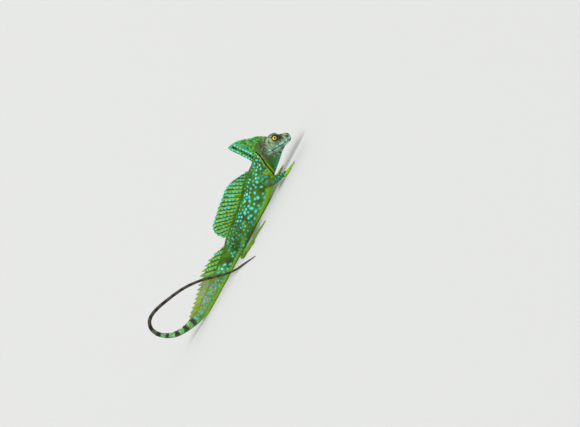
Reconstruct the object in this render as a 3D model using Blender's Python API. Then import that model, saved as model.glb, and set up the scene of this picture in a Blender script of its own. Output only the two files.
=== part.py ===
"""Green basilisk, adult male, life size, as a still model that rests on a flat floor.

Sizes are written in millimetres and MM turns them into metres. The animal faces +X, its right side
is at -Y and the floor is z = 0. The vent is at x = 0 while the pieces are made; the last step puts
the origin under the middle of the whole animal.
"""

import math

import bmesh
import bpy
from mathutils import Matrix, Vector

MM = 0.001
GAP = 0.3  # kept between nodes that touch
UP = Vector((0, 0, 1))

# Body line from the back of the skull to the bend of the tail: x, z, half width, rise, drop
BODY_KEYS = (
    (169.0, 54.0, 7.4, 5.6, 9.5),
    (165.0, 52.0, 9.3, 7.9, 11.2),
    (156.5, 46.5, 10.8, 10.8, 13.5),
    (146.0, 39.5, 12.0, 14.5, 17.5),
    (134.0, 33.0, 14.0, 19.0, 21.5),
    (121.0, 28.0, 15.8, 21.5, 23.0),
    (107.0, 24.0, 16.8, 21.5, 22.5),
    (92.0, 20.5, 17.8, 20.5, 21.4),
    (76.0, 18.3, 18.0, 19.0, 19.15),
    (60.0, 17.0, 17.0, 18.3, 17.8),
    (44.0, 16.0, 15.5, 17.2, 16.75),
    (28.0, 15.0, 14.5, 16.0, 15.7),
    (13.0, 14.2, 13.0, 14.6, 14.0),
    (-2.0, 13.0, 11.2, 12.6, 13.1),
    (-17.0, 12.0, 9.8, 11.4, 12.2),
    (-33.0, 11.2, 8.8, 10.6, 11.4),
    (-50.0, 10.4, 8.0, 9.8, 10.6),
    (-67.0, 9.6, 7.4, 9.2, 9.8),
    (-84.0, 9.0, 6.9, 8.6, 9.1),
    (-100.0, 9.8, 6.3, 7.8, 8.2),
    (-116.0, 13.2, 5.6, 6.7, 6.9),
)
# The tail's loop and whip: x, y, z, radius. It rises, turns forward, crosses in front of the
# crested base and lies on the floor beside the right hind foot.
LOOP_KEYS = (
    (-131.0, 0.0, 18.5, 5.2),
    (-143.5, -1.0, 26.0, 4.7),
    (-152.5, -2.0, 35.5, 4.2),
    (-158.0, -3.5, 47.0, 3.8),
    (-159.5, -5.0, 58.5, 3.5),
    (-156.0, -6.5, 69.0, 3.2),
    (-147.5, -8.0, 75.8, 3.05),
    (-136.0, -9.5, 77.0, 2.9),
    (-122.0, -11.5, 73.8, 2.8),
    (-108.0, -14.0, 68.6, 2.7),
    (-94.0, -16.5, 62.8, 2.6),
    (-80.0, -19.5, 56.0, 2.5),
    (-66.0, -23.0, 47.0, 2.4),
    (-53.0, -27.5, 36.5, 2.3),
    (-40.5, -33.5, 24.0, 2.2),
    (-29.5, -41.5, 13.5, 2.1),
    (-19.5, -51.0, 6.0, 2.0),
    (-10.5, -63.5, 2.5, 1.85),
    (-3.5, -79.0, 1.65, 1.7),
    (2.5, -96.0, 1.45, 1.55),
    (8.0, -112.0, 1.25, 1.35),
    (13.5, -128.0, 1.0, 1.1),
    (19.5, -145.0, 0.7, 0.8),
)
SWAY = 3.5  # the body's slight S, seen from above
SWAY_FRONT = 140.0
SWAY_LENGTH = 130.0
STEPS = 3  # rings between two keys

# Which keys of the body line each node runs between, and its number of sides
TRUNK_NODES = (
    ("neck", 0, 4, 24),
    ("torso", 4, 13, 24),
    ("tail_base", 13, 17, 18),
    ("tail_middle", 17, 21, 16),
    ("tail_rise", 21, 25, 10),
    ("tail_turn", 25, 29, 10),
    ("tail_return", 29, 33, 8),
    ("tail_crossing", 33, 37, 8),
    ("tail_whip", 37, 43, 8),
)

# Head, in its own frame: a runs forward along the mouth, n up from it, from the mouth's corner
MOUTH_CORNER = Vector((165.4, 0.0, 39.4))
HEAD_PITCH = math.radians(31.7)  # nose down
# a, top, bottom, half width
HEAD_KEYS = (
    (-9.0, 19.5, -6.5, 10.8),
    (-3.0, 20.5, -8.2, 12.4),
    (4.0, 20.8, -9.0, 12.9),
    (11.0, 20.6, -9.0, 12.2),
    (17.0, 20.2, -8.6, 10.8),
    (22.0, 19.6, -7.9, 9.4),
    (26.0, 17.8, -6.8, 8.3),
    (30.0, 15.2, -5.3, 7.3),
    (35.0, 13.5, -3.6, 6.3),
    (39.5, 12.3, -2.6, 5.2),
    (42.6, 10.0, -1.2, 3.7),
    (44.0, 6.8, 1.4, 1.5),
)
HEAD_SIDES = 24
HEAD_SQUARE = 0.82  # under 1 squares the section off
EYE_AT = (19.4, 14.0, 5.9)  # a, n, distance from the middle
EYE_RADIUS = 5.0
LID_RADIUS = 4.75
LID_THICK = 1.05
LID_OUT = 2.9
WALL_IN = 1.5
WALL_SIZE = (6.6, 5.6, 6.4)
BROW_AT = (19.2, 18.2, 6.3)
BROW_SIZE = (8.4, 3.1, 3.1)
EAR_AT = (-1.6, 6.4, 11.6)
EAR_RADIUS = 3.1
EAR_RIM = 0.75
NOSTRIL_AT = (38.6, 8.4, 4.7)
NOSTRIL_RADIUS = 0.95
MOUTH_GROOVE = 0.75
MOUTH_FRONT = 41.0

# Crests along the back: half thickness of the web and of a ray, at the root and at the edge
WEB_ROOT = 0.6
WEB_EDGE = 0.28
RAY_ROOT = 1.15
RAY_EDGE = 0.42
RAY_HALF_WIDTH = 0.95
RAY_SHOULDER = 0.975  # how far the sides of a ray reach, as a share of its tip
# Dorsal crest, front to back: share of its length, ray length, backward rake in degrees
SAIL_FRONT = 126.0
SAIL_BACK = 29.0
SAIL_RAYS = 18
SAIL_ROWS = 4
SAIL_NOTCH = 0.93  # how far the web reaches between two rays
SAIL_KEYS = (
    (0.0, 6.0, 36.0),
    (0.06, 13.5, 33.0),
    (0.18, 25.0, 31.0),
    (0.30, 30.5, 31.0),
    (0.52, 35.0, 36.0),
    (0.72, 36.5, 42.0),
    (0.82, 34.0, 45.0),
    (0.88, 29.5, 47.0),
    (0.94, 21.5, 51.0),
    (1.0, 12.0, 56.0),
)
# Tail crest, likewise
FRINGE_FRONT = 10.0
FRINGE_BACK = -112.0
FRINGE_RAYS = 16
FRINGE_ROWS = 3
FRINGE_NOTCH = 0.69
FRINGE_KEYS = (
    (0.0, 3.0, 50.0),
    (0.06, 15.0, 46.0),
    (0.15, 24.5, 46.0),
    (0.28, 28.0, 46.0),
    (0.36, 27.0, 46.0),
    (0.57, 21.0, 47.0),
    (0.82, 15.5, 48.0),
    (0.92, 12.5, 50.0),
    (1.0, 6.0, 54.0),
)
# Head crests in the head's frame: where the root and the edge are along each crest
MAIN_CREST_KEYS = (
    (-6.4, 16.0, -10.2, 30.0),
    (-9.0, 15.0, -14.5, 33.4),
    (-13.0, 12.5, -22.0, 36.2),
    (-16.5, 9.0, -31.0, 38.4),
    (-19.0, 5.5, -40.0, 38.6),
    (-21.0, 2.5, -48.6, 36.4),
    (-22.5, -0.5, -45.6, 28.6),
    (-23.5, -3.0, -40.4, 21.8),
    (-24.0, -5.0, -35.4, 14.6),
    (-24.0, -7.0, -31.0, 8.0),
    (-23.5, -8.5, -26.5, 2.6),
)
FRONT_CREST_KEYS = (
    (13.0, 16.0, 13.0, 20.9),
    (9.0, 16.0, 7.2, 24.6),
    (4.0, 16.0, 0.5, 28.8),
    (-1.0, 16.0, -5.8, 31.8),
    (-6.0, 16.0, -10.9, 33.7),
)
HEAD_CREST_ROOT = 1.5
HEAD_CREST_EDGE = 0.35
# Throat pouch in the head's frame: root and lower edge from the chin to the chest
POUCH_KEYS = (
    (29.0, -3.0, 28.5, -6.2),
    (24.0, -2.0, 24.0, -9.0),
    (17.0, 0.0, 18.2, -13.8),
    (9.0, 1.0, 11.4, -20.0),
    (1.0, 1.0, 4.0, -26.4),
    (-7.0, 0.0, -3.0, -32.4),
    (-14.0, -3.0, -8.5, -36.2),
    (-20.0, -9.0, -16.0, -35.0),
    (-24.0, -15.0, -24.0, -30.0),
)
POUCH_ROOT = 9.5
POUCH_EDGE = 1.6

# Limbs: x, distance from the middle, z, half width, rise, drop. Right side at -Y.
UPPER_ARM = {
    "r": (
        (134, 5, 28, 6.0), (131.5, 12, 27.5, 8.2), (128.5, 20, 25.3, 8.3), (126, 28, 22.3, 7.0),
        (124.4, 34.5, 19.8, 5.8), (123.5, 38.8, 18.2, 4.4), (123.2, 40.6, 17.6, 2.4),
    ),
    "l": (
        (132, 5, 28, 6.0), (129, 12, 27.5, 8.2), (124, 20, 25.3, 8.3), (119.5, 27.5, 22.8, 7.0),
        (116, 33.5, 20.8, 5.8), (114, 37.6, 19.6, 4.4), (113.3, 39.3, 19.2, 2.4),
    ),
}
FOREARM = {
    "r": (
        (120.6, 38.8, 19.6, 2.6), (123, 38.5, 18.6, 4.6), (129, 37.4, 15.6, 5.4), (136, 36, 11.9, 4.9),
        (143, 34.7, 8.0, 3.9), (149, 33.7, 5.0, 3.2), (153, 33.1, 3.7, 2.8), (155, 32.8, 3.2, 1.6),
    ),
    "l": (
        (110.7, 37.6, 20.8, 2.6), (113, 38, 19.7, 4.6), (119, 38.6, 16.3, 5.4), (125.5, 39, 12.4, 4.9),
        (132, 39.4, 8.3, 3.9), (137.5, 39.8, 5.0, 3.2), (141, 40, 3.7, 2.8), (143, 40.2, 3.2, 1.6),
    ),
}
THIGH = {
    "r": (
        (7, 2, 16.5, 6.5), (15, 9, 17.6, 9.8), (26, 18, 19.0, 10.4), (37, 26, 20.2, 9.0),
        (47, 32.5, 20.8, 7.4), (53.5, 36.6, 20.6, 5.6), (56.4, 38.6, 20.3, 3.2),
    ),
    "l": (
        (5, 2, 16.5, 6.5), (12, 9, 17.8, 9.8), (21, 19, 19.4, 10.4), (30, 27.5, 20.8, 9.0),
        (38, 34.5, 21.5, 7.4), (43, 39, 21.3, 5.6), (45.4, 41.2, 21.0, 3.2),
    ),
}
SHANK = {
    "r": (
        (60, 38.6, 20.8, 3.0), (57, 39.2, 20.2, 5.2), (48, 41.4, 17.6, 6.8), (38, 44, 14.4, 6.5),
        (27, 46.8, 10.9, 5.0), (17, 49.4, 7.3, 4.0), (11.5, 50.9, 5.1, 3.6), (8.8, 51.6, 4.4, 2.0),
    ),
    "l": (
        (49.4, 40.4, 21.6, 3.0), (46.5, 41.4, 21.0, 5.2), (37.8, 44.6, 18.3, 6.8), (28, 48.2, 15.0, 6.5),
        (18, 51.8, 11.2, 5.0), (8.6, 54.8, 7.5, 4.0), (3.5, 56.4, 5.2, 3.6), (1.0, 57.2, 4.5, 2.0),
    ),
}
LIMB_SIDES = 12
# Wrist or ankle, then the direction that the middle digit points in, in degrees outward from +X
HANDS = {
    "r": ((148.0, 33.6), 4.0),
    "l": ((136.5, 39.4), 14.0),
}
FEET = {
    "r": ((11.0, 50.5), 10.0),
    "l": ((3.5, 55.5), 16.0),
}
# Palm and sole: distance along, half width, rise, drop
PALM_KEYS = (
    (-3.2, 1.8, 1.5, 1.5),
    (-0.8, 3.4, 2.8, 2.8),
    (4.5, 4.6, 2.6, 2.6),
    (9.0, 5.3, 2.0, 2.0),
    (12.0, 4.4, 1.5, 1.5),
)
SOLE_KEYS = (
    (-6.4, 1.9, 1.8, 1.8),
    (-3.6, 3.6, 3.5, 3.4),
    (3.0, 4.6, 3.3, 3.3),
    (12.0, 5.0, 2.7, 2.7),
    (20.0, 5.2, 2.2, 2.2),
    (25.0, 4.0, 1.7, 1.7),
)
# Digits: start along the palm, start across it (outward), spread in degrees, length, radius
FINGERS = (
    (4.0, -3.2, -48.0, 10.0, 1.35),
    (8.5, -3.4, -24.0, 13.5, 1.4),
    (10.0, -0.6, -3.0, 17.0, 1.45),
    (9.5, 2.2, 17.0, 17.5, 1.45),
    (5.5, 3.4, 46.0, 13.0, 1.35),
)
TOES = (
    (8.0, -3.4, -40.0, 13.0, 1.6),
    (17.0, -3.6, -22.0, 20.0, 1.7),
    (22.0, -1.6, -8.0, 31.0, 1.8),
    (22.5, 1.6, 5.0, 43.0, 1.9),
    (9.0, 3.6, 34.0, 26.0, 1.7),
)
DIGIT_SIDES = 6
KNUCKLE_LIFT = 0.9
CLAW_LENGTH = 3.0

# Colours, linear: base colour, roughness
FINISHES = {
    "body_skin": ((0.10, 0.33, 0.035), 0.5),
    "head_skin": ((0.19, 0.32, 0.14), 0.5),
    "throat_skin": ((0.16, 0.40, 0.20), 0.5),
    "crest_skin": ((0.22, 0.42, 0.035), 0.45),
    "tail_skin": ((0.16, 0.26, 0.09), 0.55),
    "eye": ((0.85, 0.50, 0.02), 0.12),
}


def clear_scene():
    for obj in list(bpy.data.objects):
        bpy.data.objects.remove(obj)


def collection_named(name):
    made = bpy.data.collections.new(name)
    bpy.context.scene.collection.children.link(made)
    return made


def finish_named(name):
    material = bpy.data.materials.get(name)
    if material is None:
        colour, roughness = FINISHES[name]
        material = bpy.data.materials.new(name)
        material.use_nodes = True
        shader = material.node_tree.nodes["Principled BSDF"]
        shader.inputs["Base Color"].default_value = (*colour, 1.0)
        shader.inputs["Roughness"].default_value = roughness
        shader.inputs["Metallic"].default_value = 0.0
    return material


def new_object(name, bm):
    """A closed mesh object from bm, whose points are in millimetres, with its faces pointing out."""
    bmesh.ops.scale(bm, vec=(MM, MM, MM), verts=bm.verts)
    bmesh.ops.recalc_face_normals(bm, faces=bm.faces)
    mesh = bpy.data.meshes.new(name)
    bm.to_mesh(mesh)
    bm.free()
    return bpy.data.objects.new(name, mesh)


def evaluated_mesh(obj):
    bpy.context.view_layer.update()
    graph = bpy.context.evaluated_depsgraph_get()
    return bpy.data.meshes.new_from_object(obj.evaluated_get(graph))


def keep_largest(mesh):
    """Deletes every closed surface but the largest."""
    bm = bmesh.new()
    bm.from_mesh(mesh)
    waiting = set(bm.verts)
    shells = []
    while waiting:
        grown = {waiting.pop()}
        edge = set(grown)
        while edge:
            edge = {e.other_vert(v) for v in edge for e in v.link_edges} & waiting
            waiting -= edge
            grown |= edge
        shells.append(grown)
    shells.sort(key=len)
    bmesh.ops.delete(bm, geom=[v for shell in shells[:-1] for v in shell], context="VERTS")
    bm.to_mesh(mesh)
    bm.free()


def combine(base, others, operation):
    """Joins the closed meshes in others to base, or cuts them from it, and removes them."""
    folder = collection_named(base.name + "_" + operation.lower())
    for other in others:
        folder.objects.link(other)
    if base.name not in bpy.context.scene.collection.objects:
        bpy.context.scene.collection.objects.link(base)
    modifier = base.modifiers.new(operation.title(), "BOOLEAN")
    modifier.operation = operation
    modifier.operand_type = "COLLECTION"
    modifier.collection = folder
    modifier.solver = "EXACT"
    mesh = evaluated_mesh(base)
    base.modifiers.clear()
    base.data = mesh
    bpy.context.scene.collection.objects.unlink(base)
    for other in others:
        bpy.data.objects.remove(other)
    bpy.data.collections.remove(folder)
    keep_largest(mesh)
    return base


def smooth(keys, steps):
    """Rows of a Catmull-Rom curve through keys, with steps rows for each span."""
    rows = [keys[0], *keys, keys[-1]]
    made = []
    for before, start, end, after in zip(rows, rows[1:], rows[2:], rows[3:]):
        for k in range(steps):
            t = k / steps
            made.append(
                tuple(
                    0.5
                    * (
                        2 * q
                        + (r - p) * t
                        + (2 * p - 5 * q + 4 * r - s) * t**2
                        + (3 * q - p - 3 * r + s) * t**3
                    )
                    for p, q, r, s in zip(before, start, end, after)
                )
            )
    made.append(tuple(keys[-1]))
    return made


def key_values(keys, t):
    """The values beside t in keys, eased between one key and the next."""
    for low, high in zip(keys, keys[1:]):
        if t <= high[0]:
            break
    share = min(1.0, max(0.0, (t - low[0]) / (high[0] - low[0])))
    return [a + (b - a) * share for a, b in zip(low[1:], high[1:])]


def sway(x):
    """How far the body's middle stands to the left at x."""
    turns = (SWAY_FRONT - x) / SWAY_LENGTH
    return SWAY * math.sin(math.pi * turns) if 0 < turns < 2 else 0.0


def rings_of(rows, sides, up, square=1.0, grow=0.0, on_floor=True):
    """(ring, forward) for each row of x, y, z, half width, rise, drop, its frame carried along the curve."""
    points = [Vector(row[:3]) for row in rows]
    made = []
    for i, row in enumerate(rows):
        forward = (points[min(i + 1, len(rows) - 1)] - points[max(i - 1, 0)]).normalized()
        side = up.cross(forward).normalized()
        up = forward.cross(side)
        half_width, rise, drop = (size + grow for size in row[3:6])
        ring = []
        for k in range(sides):
            angle = 2 * math.pi * k / sides
            c, s = math.cos(angle), math.sin(angle)
            across = half_width * math.copysign(abs(c) ** square, c)
            height = (rise if s > 0 else drop) * math.copysign(abs(s) ** square, s)
            point = points[i] + side * across + up * height
            if on_floor:
                point.z = max(point.z, 0.0)
            ring.append(point)
        made.append((ring, forward))
    return made


def tube(name, rings):
    """A closed tube through rings of points."""
    bm = bmesh.new()
    loops = [[bm.verts.new(point) for point in ring] for ring in rings]
    for low, high in zip(loops, loops[1:]):
        for k in range(len(low)):
            after = (k + 1) % len(low)
            bm.faces.new((low[k], low[after], high[after], high[k]))
    bm.faces.new(loops[0])
    bm.faces.new(loops[-1])
    return new_object(name, bm)


def round_rows(keys):
    """x, y, z, half width, rise, drop from x, y, z, radius."""
    return [(*key[:3], key[3], key[3], key[3]) for key in keys]


def trunk_rows():
    keys = [(x, sway(x), z, width, rise, drop) for x, z, width, rise, drop in BODY_KEYS]
    return smooth(keys + round_rows(LOOP_KEYS), STEPS)


def trunk_node(name, first, last, sides):
    """One length of the body line, with half the gap taken off each end that has a neighbour."""
    rows = trunk_rows()
    rings = rings_of(rows, sides, UP)
    start, end = first * STEPS, min(last * STEPS, len(rows) - 1)
    taken = [ring for ring, _ in rings[start : end + 1]]
    if start > 0:
        taken[0] = [point + rings[start][1] * (GAP / 2) for point in taken[0]]
    if end < len(rows) - 1:
        taken[-1] = [point - rings[end][1] * (GAP / 2) for point in taken[-1]]
    for point in taken[0] + taken[-1]:
        point.z = max(point.z, 0.0)
    return tube(name, taken)


def trunk_cutter(grow=GAP, sides=24, last=23):
    rings = rings_of(trunk_rows(), sides, UP, grow=grow, on_floor=False)
    return tube("trunk_cutter", [ring for ring, _ in rings[: last * STEPS]])


def back_line():
    """(x, z) along the top of the body, from the neck to the tail."""
    line = []
    for ring, _ in rings_of(trunk_rows(), 4, UP):
        line.append((ring[1].x, ring[1].z))
    return line


def back_at(line, x):
    for (x0, z0), (x1, z1) in zip(line, line[1:]):
        if x1 <= x <= x0:
            return z0 + (z1 - z0) * (x0 - x) / max(x0 - x1, 1e-6)
    return line[0][1]


def head_point(a, n, across=0.0):
    """A point of the head's frame in the body's: a forward along the mouth, n up, across to the left."""
    turned = Matrix.Rotation(HEAD_PITCH, 3, "Y") @ Vector((a, across, n))
    return MOUTH_CORNER + turned


def head_rows():
    rows = []
    for a, top, bottom, half_width in smooth(HEAD_KEYS, 2):
        middle = bottom + 0.42 * (top - bottom)
        rows.append((a, 0.0, middle, half_width, top - middle, middle - bottom))
    return rows


def head_rings(grow=0.0):
    rings = []
    rows = head_rows()
    for index, (a, _, middle, half_width, rise, drop) in enumerate(rows):
        if index == 0:
            a -= grow
        if index == len(rows) - 1:
            a += grow
        ring = []
        for k in range(HEAD_SIDES):
            angle = 2 * math.pi * k / HEAD_SIDES
            c, s = math.cos(angle), math.sin(angle)
            across = (half_width + grow) * math.copysign(abs(c) ** HEAD_SQUARE, c)
            height = ((rise if s > 0 else drop) + grow) * math.copysign(abs(s) ** HEAD_SQUARE, s)
            ring.append(head_point(a, middle + height, across))
        rings.append(ring)
    return rings


def head_half_width(a, n):
    """Half the head's width at a and height n."""
    rows = head_rows()
    for low, high in zip(rows, rows[1:]):
        if a <= high[0]:
            break
    share = (a - low[0]) / (high[0] - low[0])
    _, _, middle, half_width, rise, drop = (p + (q - p) * share for p, q in zip(low, high))
    reach = min(1.0, abs(n - middle) / (rise if n > middle else drop))
    return half_width * (1 - reach ** (2 / HEAD_SQUARE)) ** (HEAD_SQUARE / 2)


def ball(name, centre, sizes, turn=None, segments=12, rings=8):
    """A stretched ball in the head's frame, in millimetres."""
    bm = bmesh.new()
    bmesh.ops.create_uvsphere(bm, u_segments=segments, v_segments=rings, radius=1.0)
    bmesh.ops.scale(bm, vec=sizes, verts=bm.verts)
    if turn is not None:
        bmesh.ops.rotate(bm, cent=(0, 0, 0), matrix=turn, verts=bm.verts)
    for vert in bm.verts:
        a, across, n = vert.co
        vert.co = head_point(centre[0] + a, centre[1] + n, centre[2] + across)
    return new_object(name, bm)


def hoop(name, centre, radius, thick, turn, stretch=1.0, segments=18, sides=6):
    """A ring in the head's frame whose axis runs across the head before it is turned."""
    bm = bmesh.new()
    loops = []
    for k in range(segments):
        angle = 2 * math.pi * k / segments
        out = Vector((math.cos(angle) * stretch, 0, math.sin(angle)))
        loop = []
        for j in range(sides):
            swing = 2 * math.pi * j / sides
            local = out * (radius + thick * math.cos(swing)) + Vector((0, thick * math.sin(swing), 0))
            a, across, n = turn @ local
            loop.append(bm.verts.new(head_point(centre[0] + a, centre[1] + n, centre[2] + across)))
        loops.append(loop)
    for k in range(segments):
        low, high = loops[k], loops[(k + 1) % segments]
        for j in range(sides):
            bm.faces.new((low[j], low[(j + 1) % sides], high[(j + 1) % sides], high[j]))
    return new_object(name, bm)


def eye_turn(hand):
    """The way the eye looks: outward, a little forward and up."""
    return Matrix.Rotation(hand * math.radians(-12), 3, "Z") @ Matrix.Rotation(hand * math.radians(8), 3, "X")


def mouth_cutter():
    """A round cord along the lips, from one corner of the mouth round the snout to the other."""
    left = []
    for k in range(13):
        a = 0.5 + (MOUTH_FRONT - 0.5) * math.sin(math.pi / 2 * k / 12)
        n = -0.5 * math.sin(math.pi * a / MOUTH_FRONT) + 0.6 * (a / MOUTH_FRONT) ** 3
        left.append((a, n, head_half_width(a, n)))
    nose = (MOUTH_FRONT + 2.2, 0.6, 0.0)
    path = left + [nose] + [(a, n, -across) for a, n, across in reversed(left)]
    rows = [(*head_point(*point), MOUTH_GROOVE, MOUTH_GROOVE, MOUTH_GROOVE) for point in path]
    return tube("mouth_cutter", [ring for ring, _ in rings_of(rows, 6, UP, on_floor=False)])


def make_head():
    head = tube("head", head_rings())
    added, cut = [], [mouth_cutter()]
    for hand in (1, -1):
        a, n, across = EYE_AT
        eye = (a, n, across * hand)
        turn = eye_turn(hand)
        out = turn @ Vector((0, hand * LID_OUT, 0))
        lid_at = (a + out.x, n + out.z, eye[2] + out.y)
        added.append(hoop("lid", lid_at, LID_RADIUS, LID_THICK, turn, stretch=1.06, segments=16, sides=5))
        wall = (a, n, (across - WALL_IN) * hand)
        added.append(ball("socket_wall", wall, WALL_SIZE, segments=12, rings=8))
        brow = (BROW_AT[0], BROW_AT[1], BROW_AT[2] * hand)
        lean = Matrix.Rotation(math.radians(4), 3, "Y") @ Matrix.Rotation(hand * math.radians(-10), 3, "Z")
        added.append(ball("brow", brow, BROW_SIZE, lean, 12, 8))
        ear = (EAR_AT[0], EAR_AT[1], EAR_AT[2] * hand)
        ear_turn = Matrix.Rotation(hand * math.radians(6), 3, "Z")
        added.append(hoop("ear_rim", ear, EAR_RADIUS, EAR_RIM, ear_turn, stretch=0.8, segments=14, sides=5))
        cut.append(ball("socket", eye, (EYE_RADIUS + GAP,) * 3, segments=14, rings=10))
        ear_out = (ear[0], ear[1], ear[2] + 1.5 * hand)
        cut.append(ball("ear_dish", ear_out, (2.1, 1.7, 2.6), segments=10, rings=6))
        nostril = (NOSTRIL_AT[0], NOSTRIL_AT[1], NOSTRIL_AT[2] * hand)
        cut.append(ball("nostril", nostril, (1.25, 1.3, NOSTRIL_RADIUS), segments=8, rings=6))
    combine(head, added, "UNION")
    return combine(head, cut, "DIFFERENCE")


def head_cutter():
    return tube("head_cutter", head_rings(GAP))


def make_eye(name, hand):
    return ball(name, (EYE_AT[0], EYE_AT[1], EYE_AT[2] * hand), (EYE_RADIUS,) * 3, eye_turn(hand), 14, 8)


def fin(name, columns, half_thickness):
    """A thin upright blade. columns holds lists of points from root to edge, in the body's middle plane.

    half_thickness(column, row) is in millimetres. Both faces have the same triangles.
    """
    bm = bmesh.new()
    sheets = []
    for hand in (1, -1):
        sheet = []
        for i, column in enumerate(columns):
            before, after = columns[max(i - 1, 0)][0], columns[min(i + 1, len(columns) - 1)][0]
            along = Vector((after.x - before.x, after.y - before.y, 0)).normalized()
            across = UP.cross(along) * hand
            sheet.append([bm.verts.new(p + across * half_thickness(i, j)) for j, p in enumerate(column)])
        sheets.append(sheet)
    for sheet in sheets:
        for left, right in zip(sheet, sheet[1:]):
            for j in range(len(left) - 1):
                bm.faces.new((left[j], right[j], right[j + 1]))
                bm.faces.new((left[j], right[j + 1], left[j + 1]))
    near, far = sheets
    rim = [column[0] for column in near] + near[-1][1:-1]
    rim += [column[-1] for column in reversed(near)] + near[0][-2:0:-1]
    other = [column[0] for column in far] + far[-1][1:-1]
    other += [column[-1] for column in reversed(far)] + far[0][-2:0:-1]
    for k in range(len(rim)):
        after = (k + 1) % len(rim)
        bm.faces.new((rim[k], rim[after], other[after]))
        bm.faces.new((rim[k], other[after], other[k]))
    return new_object(name, bm)


def rayed_fin(name, front, back, rays, keys, notch, rows):
    """A crest along the back, of a thin web with raking rays raised in both of its faces.

    Each ray has three columns of points, its two sides and its crest, and one more for the web.
    """
    line = back_line()
    pitch = (back - front) / (rays - 1)
    columns, ridges = [], []
    for ray in range(rays):
        places = (
            (-RAY_HALF_WIDTH, RAY_SHOULDER, 0),
            (0.0, 1.0, 1),
            (RAY_HALF_WIDTH, RAY_SHOULDER, 0),
            (-pitch / 2, notch, 0),
        )
        if ray == rays - 1:
            places = places[:3]
        for shift, reach, ridge in places:
            x = front + pitch * ray - shift
            length, rake = key_values(keys, (x - front) / (back - front))
            lean = Vector((-math.sin(math.radians(rake)), 0, math.cos(math.radians(rake))))
            base = Vector((x, 0, back_at(line, x) + GAP))
            column = []
            for j in range(rows + 1):
                point = base + lean * (length * reach * j / rows)
                point.y = sway(point.x)
                column.append(point)
            columns.append(column)
            ridges.append(ridge)

    def half_thickness(i, j):
        root, edge = (RAY_ROOT, RAY_EDGE) if ridges[i] else (WEB_ROOT, WEB_EDGE)
        return root + (edge - root) * j / rows

    return fin(name, columns, half_thickness)


def head_fin(name, keys, steps, rows, root, edge, power=1.0):
    """A blade in the head's middle plane, between a root line and an edge line."""
    columns = []
    for root_a, root_n, edge_a, edge_n in smooth(keys, steps):
        low, high = head_point(root_a, root_n), head_point(edge_a, edge_n)
        columns.append([low.lerp(high, j / rows) for j in range(rows + 1)])

    def half_thickness(i, j):
        return edge + (root - edge) * (1 - j / rows) ** power

    return fin(name, columns, half_thickness)


def limb(name, keys, hand, steps, grow=0.0):
    """A limb segment through x, distance out, z, radius."""
    rows = [(x, y * hand, z, r, r, r) for x, y, z, r in smooth(keys, steps)]
    return tube(name, [ring for ring, _ in rings_of(rows, LIMB_SIDES, UP, grow=grow)])


def local_frame(origin, heading, hand):
    """Turns (along, outward, z) at a wrist or ankle into the body's frame."""
    swing = math.radians(heading)

    def place(along, outward, z):
        x = origin[0] + along * math.cos(swing) - outward * math.sin(swing)
        y = origin[1] + along * math.sin(swing) + outward * math.cos(swing)
        return (x, y * hand, z)

    return place


def digit(name, place, start, outward, spread, length, radius):
    """A finger or toe that arches a little and comes down on a flat pad."""
    turn = math.radians(spread)
    rows = []
    for k in range(5):
        t = k / 4
        reach = -2.0 + (length + 2.0 - CLAW_LENGTH) * t
        size = radius * (1 - 0.35 * t)
        z = size * 0.92 + KNUCKLE_LIFT * math.sin(math.pi * min(1.0, t * 1.1)) ** 2
        bend = 1.0 - 0.12 * t
        along = start + reach * math.cos(turn * bend)
        across = outward + reach * math.sin(turn * bend)
        rows.append((*place(along, across, z), size, size, size))
    return tube(name, [ring for ring, _ in rings_of(rows, DIGIT_SIDES, UP)])


def claw(name, place, start, outward, spread, length, radius):
    """A hooked claw from inside the digit's tip down to the floor."""
    turn = math.radians(spread) * 0.88
    rows = []
    for k in range(3):
        t = k / 2
        reach = length - CLAW_LENGTH - 1.2 + (CLAW_LENGTH + 1.2) * t
        size = radius * (0.5 - 0.4 * t)
        z = 0.3 + radius * (0.75 - 0.68 * t**2)
        along = start + reach * math.cos(turn)
        across = outward + reach * math.sin(turn)
        rows.append((*place(along, across, z), size, size, size))
    return tube(name, [ring for ring, _ in rings_of(rows, 4, UP)])


def paw(name, where, heading, hand, palm_keys, digits):
    """A hand or foot flat on the floor: its palm, digits and claws in one solid."""
    place = local_frame(where, heading, hand)
    rows = []
    for along, width, rise, drop in smooth(palm_keys, 2):
        rows.append((*place(along, 0, drop * 0.96), width, rise, drop))
    palm = tube(name, [ring for ring, _ in rings_of(rows, 10, UP)])
    pieces = []
    for index, (start, outward, spread, length, radius) in enumerate(digits):
        pieces.append(digit(f"digit_{index}", place, start, outward, spread, length, radius))
        pieces.append(claw(f"claw_{index}", place, start, outward, spread, length, radius))
    return combine(palm, pieces, "UNION")


def make_limbs():
    """Both arms and both legs, each segment cut clear of the one that it grows from."""
    made = {}
    for side, hand in (("l", 1), ("r", -1)):
        upper = limb("upper_arm_" + side, UPPER_ARM[side], hand, 1)
        made[upper.name] = combine(upper, [trunk_cutter()], "DIFFERENCE")
        fore = limb("forearm_" + side, FOREARM[side], hand, 1)
        made[fore.name] = combine(fore, [limb("cut", UPPER_ARM[side], hand, 1, GAP)], "DIFFERENCE")
        where, heading = HANDS[side]
        palm = paw("hand_" + side, where, heading, hand, PALM_KEYS, FINGERS)
        made[palm.name] = combine(palm, [limb("cut", FOREARM[side], hand, 1, GAP)], "DIFFERENCE")
        thigh = limb("thigh_" + side, THIGH[side], hand, 1)
        made[thigh.name] = combine(thigh, [trunk_cutter()], "DIFFERENCE")
        shank = limb("shank_" + side, SHANK[side], hand, 1)
        made[shank.name] = combine(shank, [limb("cut", THIGH[side], hand, 1, GAP)], "DIFFERENCE")
        where, heading = FEET[side]
        foot = paw("foot_" + side, where, heading, hand, SOLE_KEYS, TOES)
        made[foot.name] = combine(foot, [limb("cut", SHANK[side], hand, 1, GAP)], "DIFFERENCE")
    return made


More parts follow.
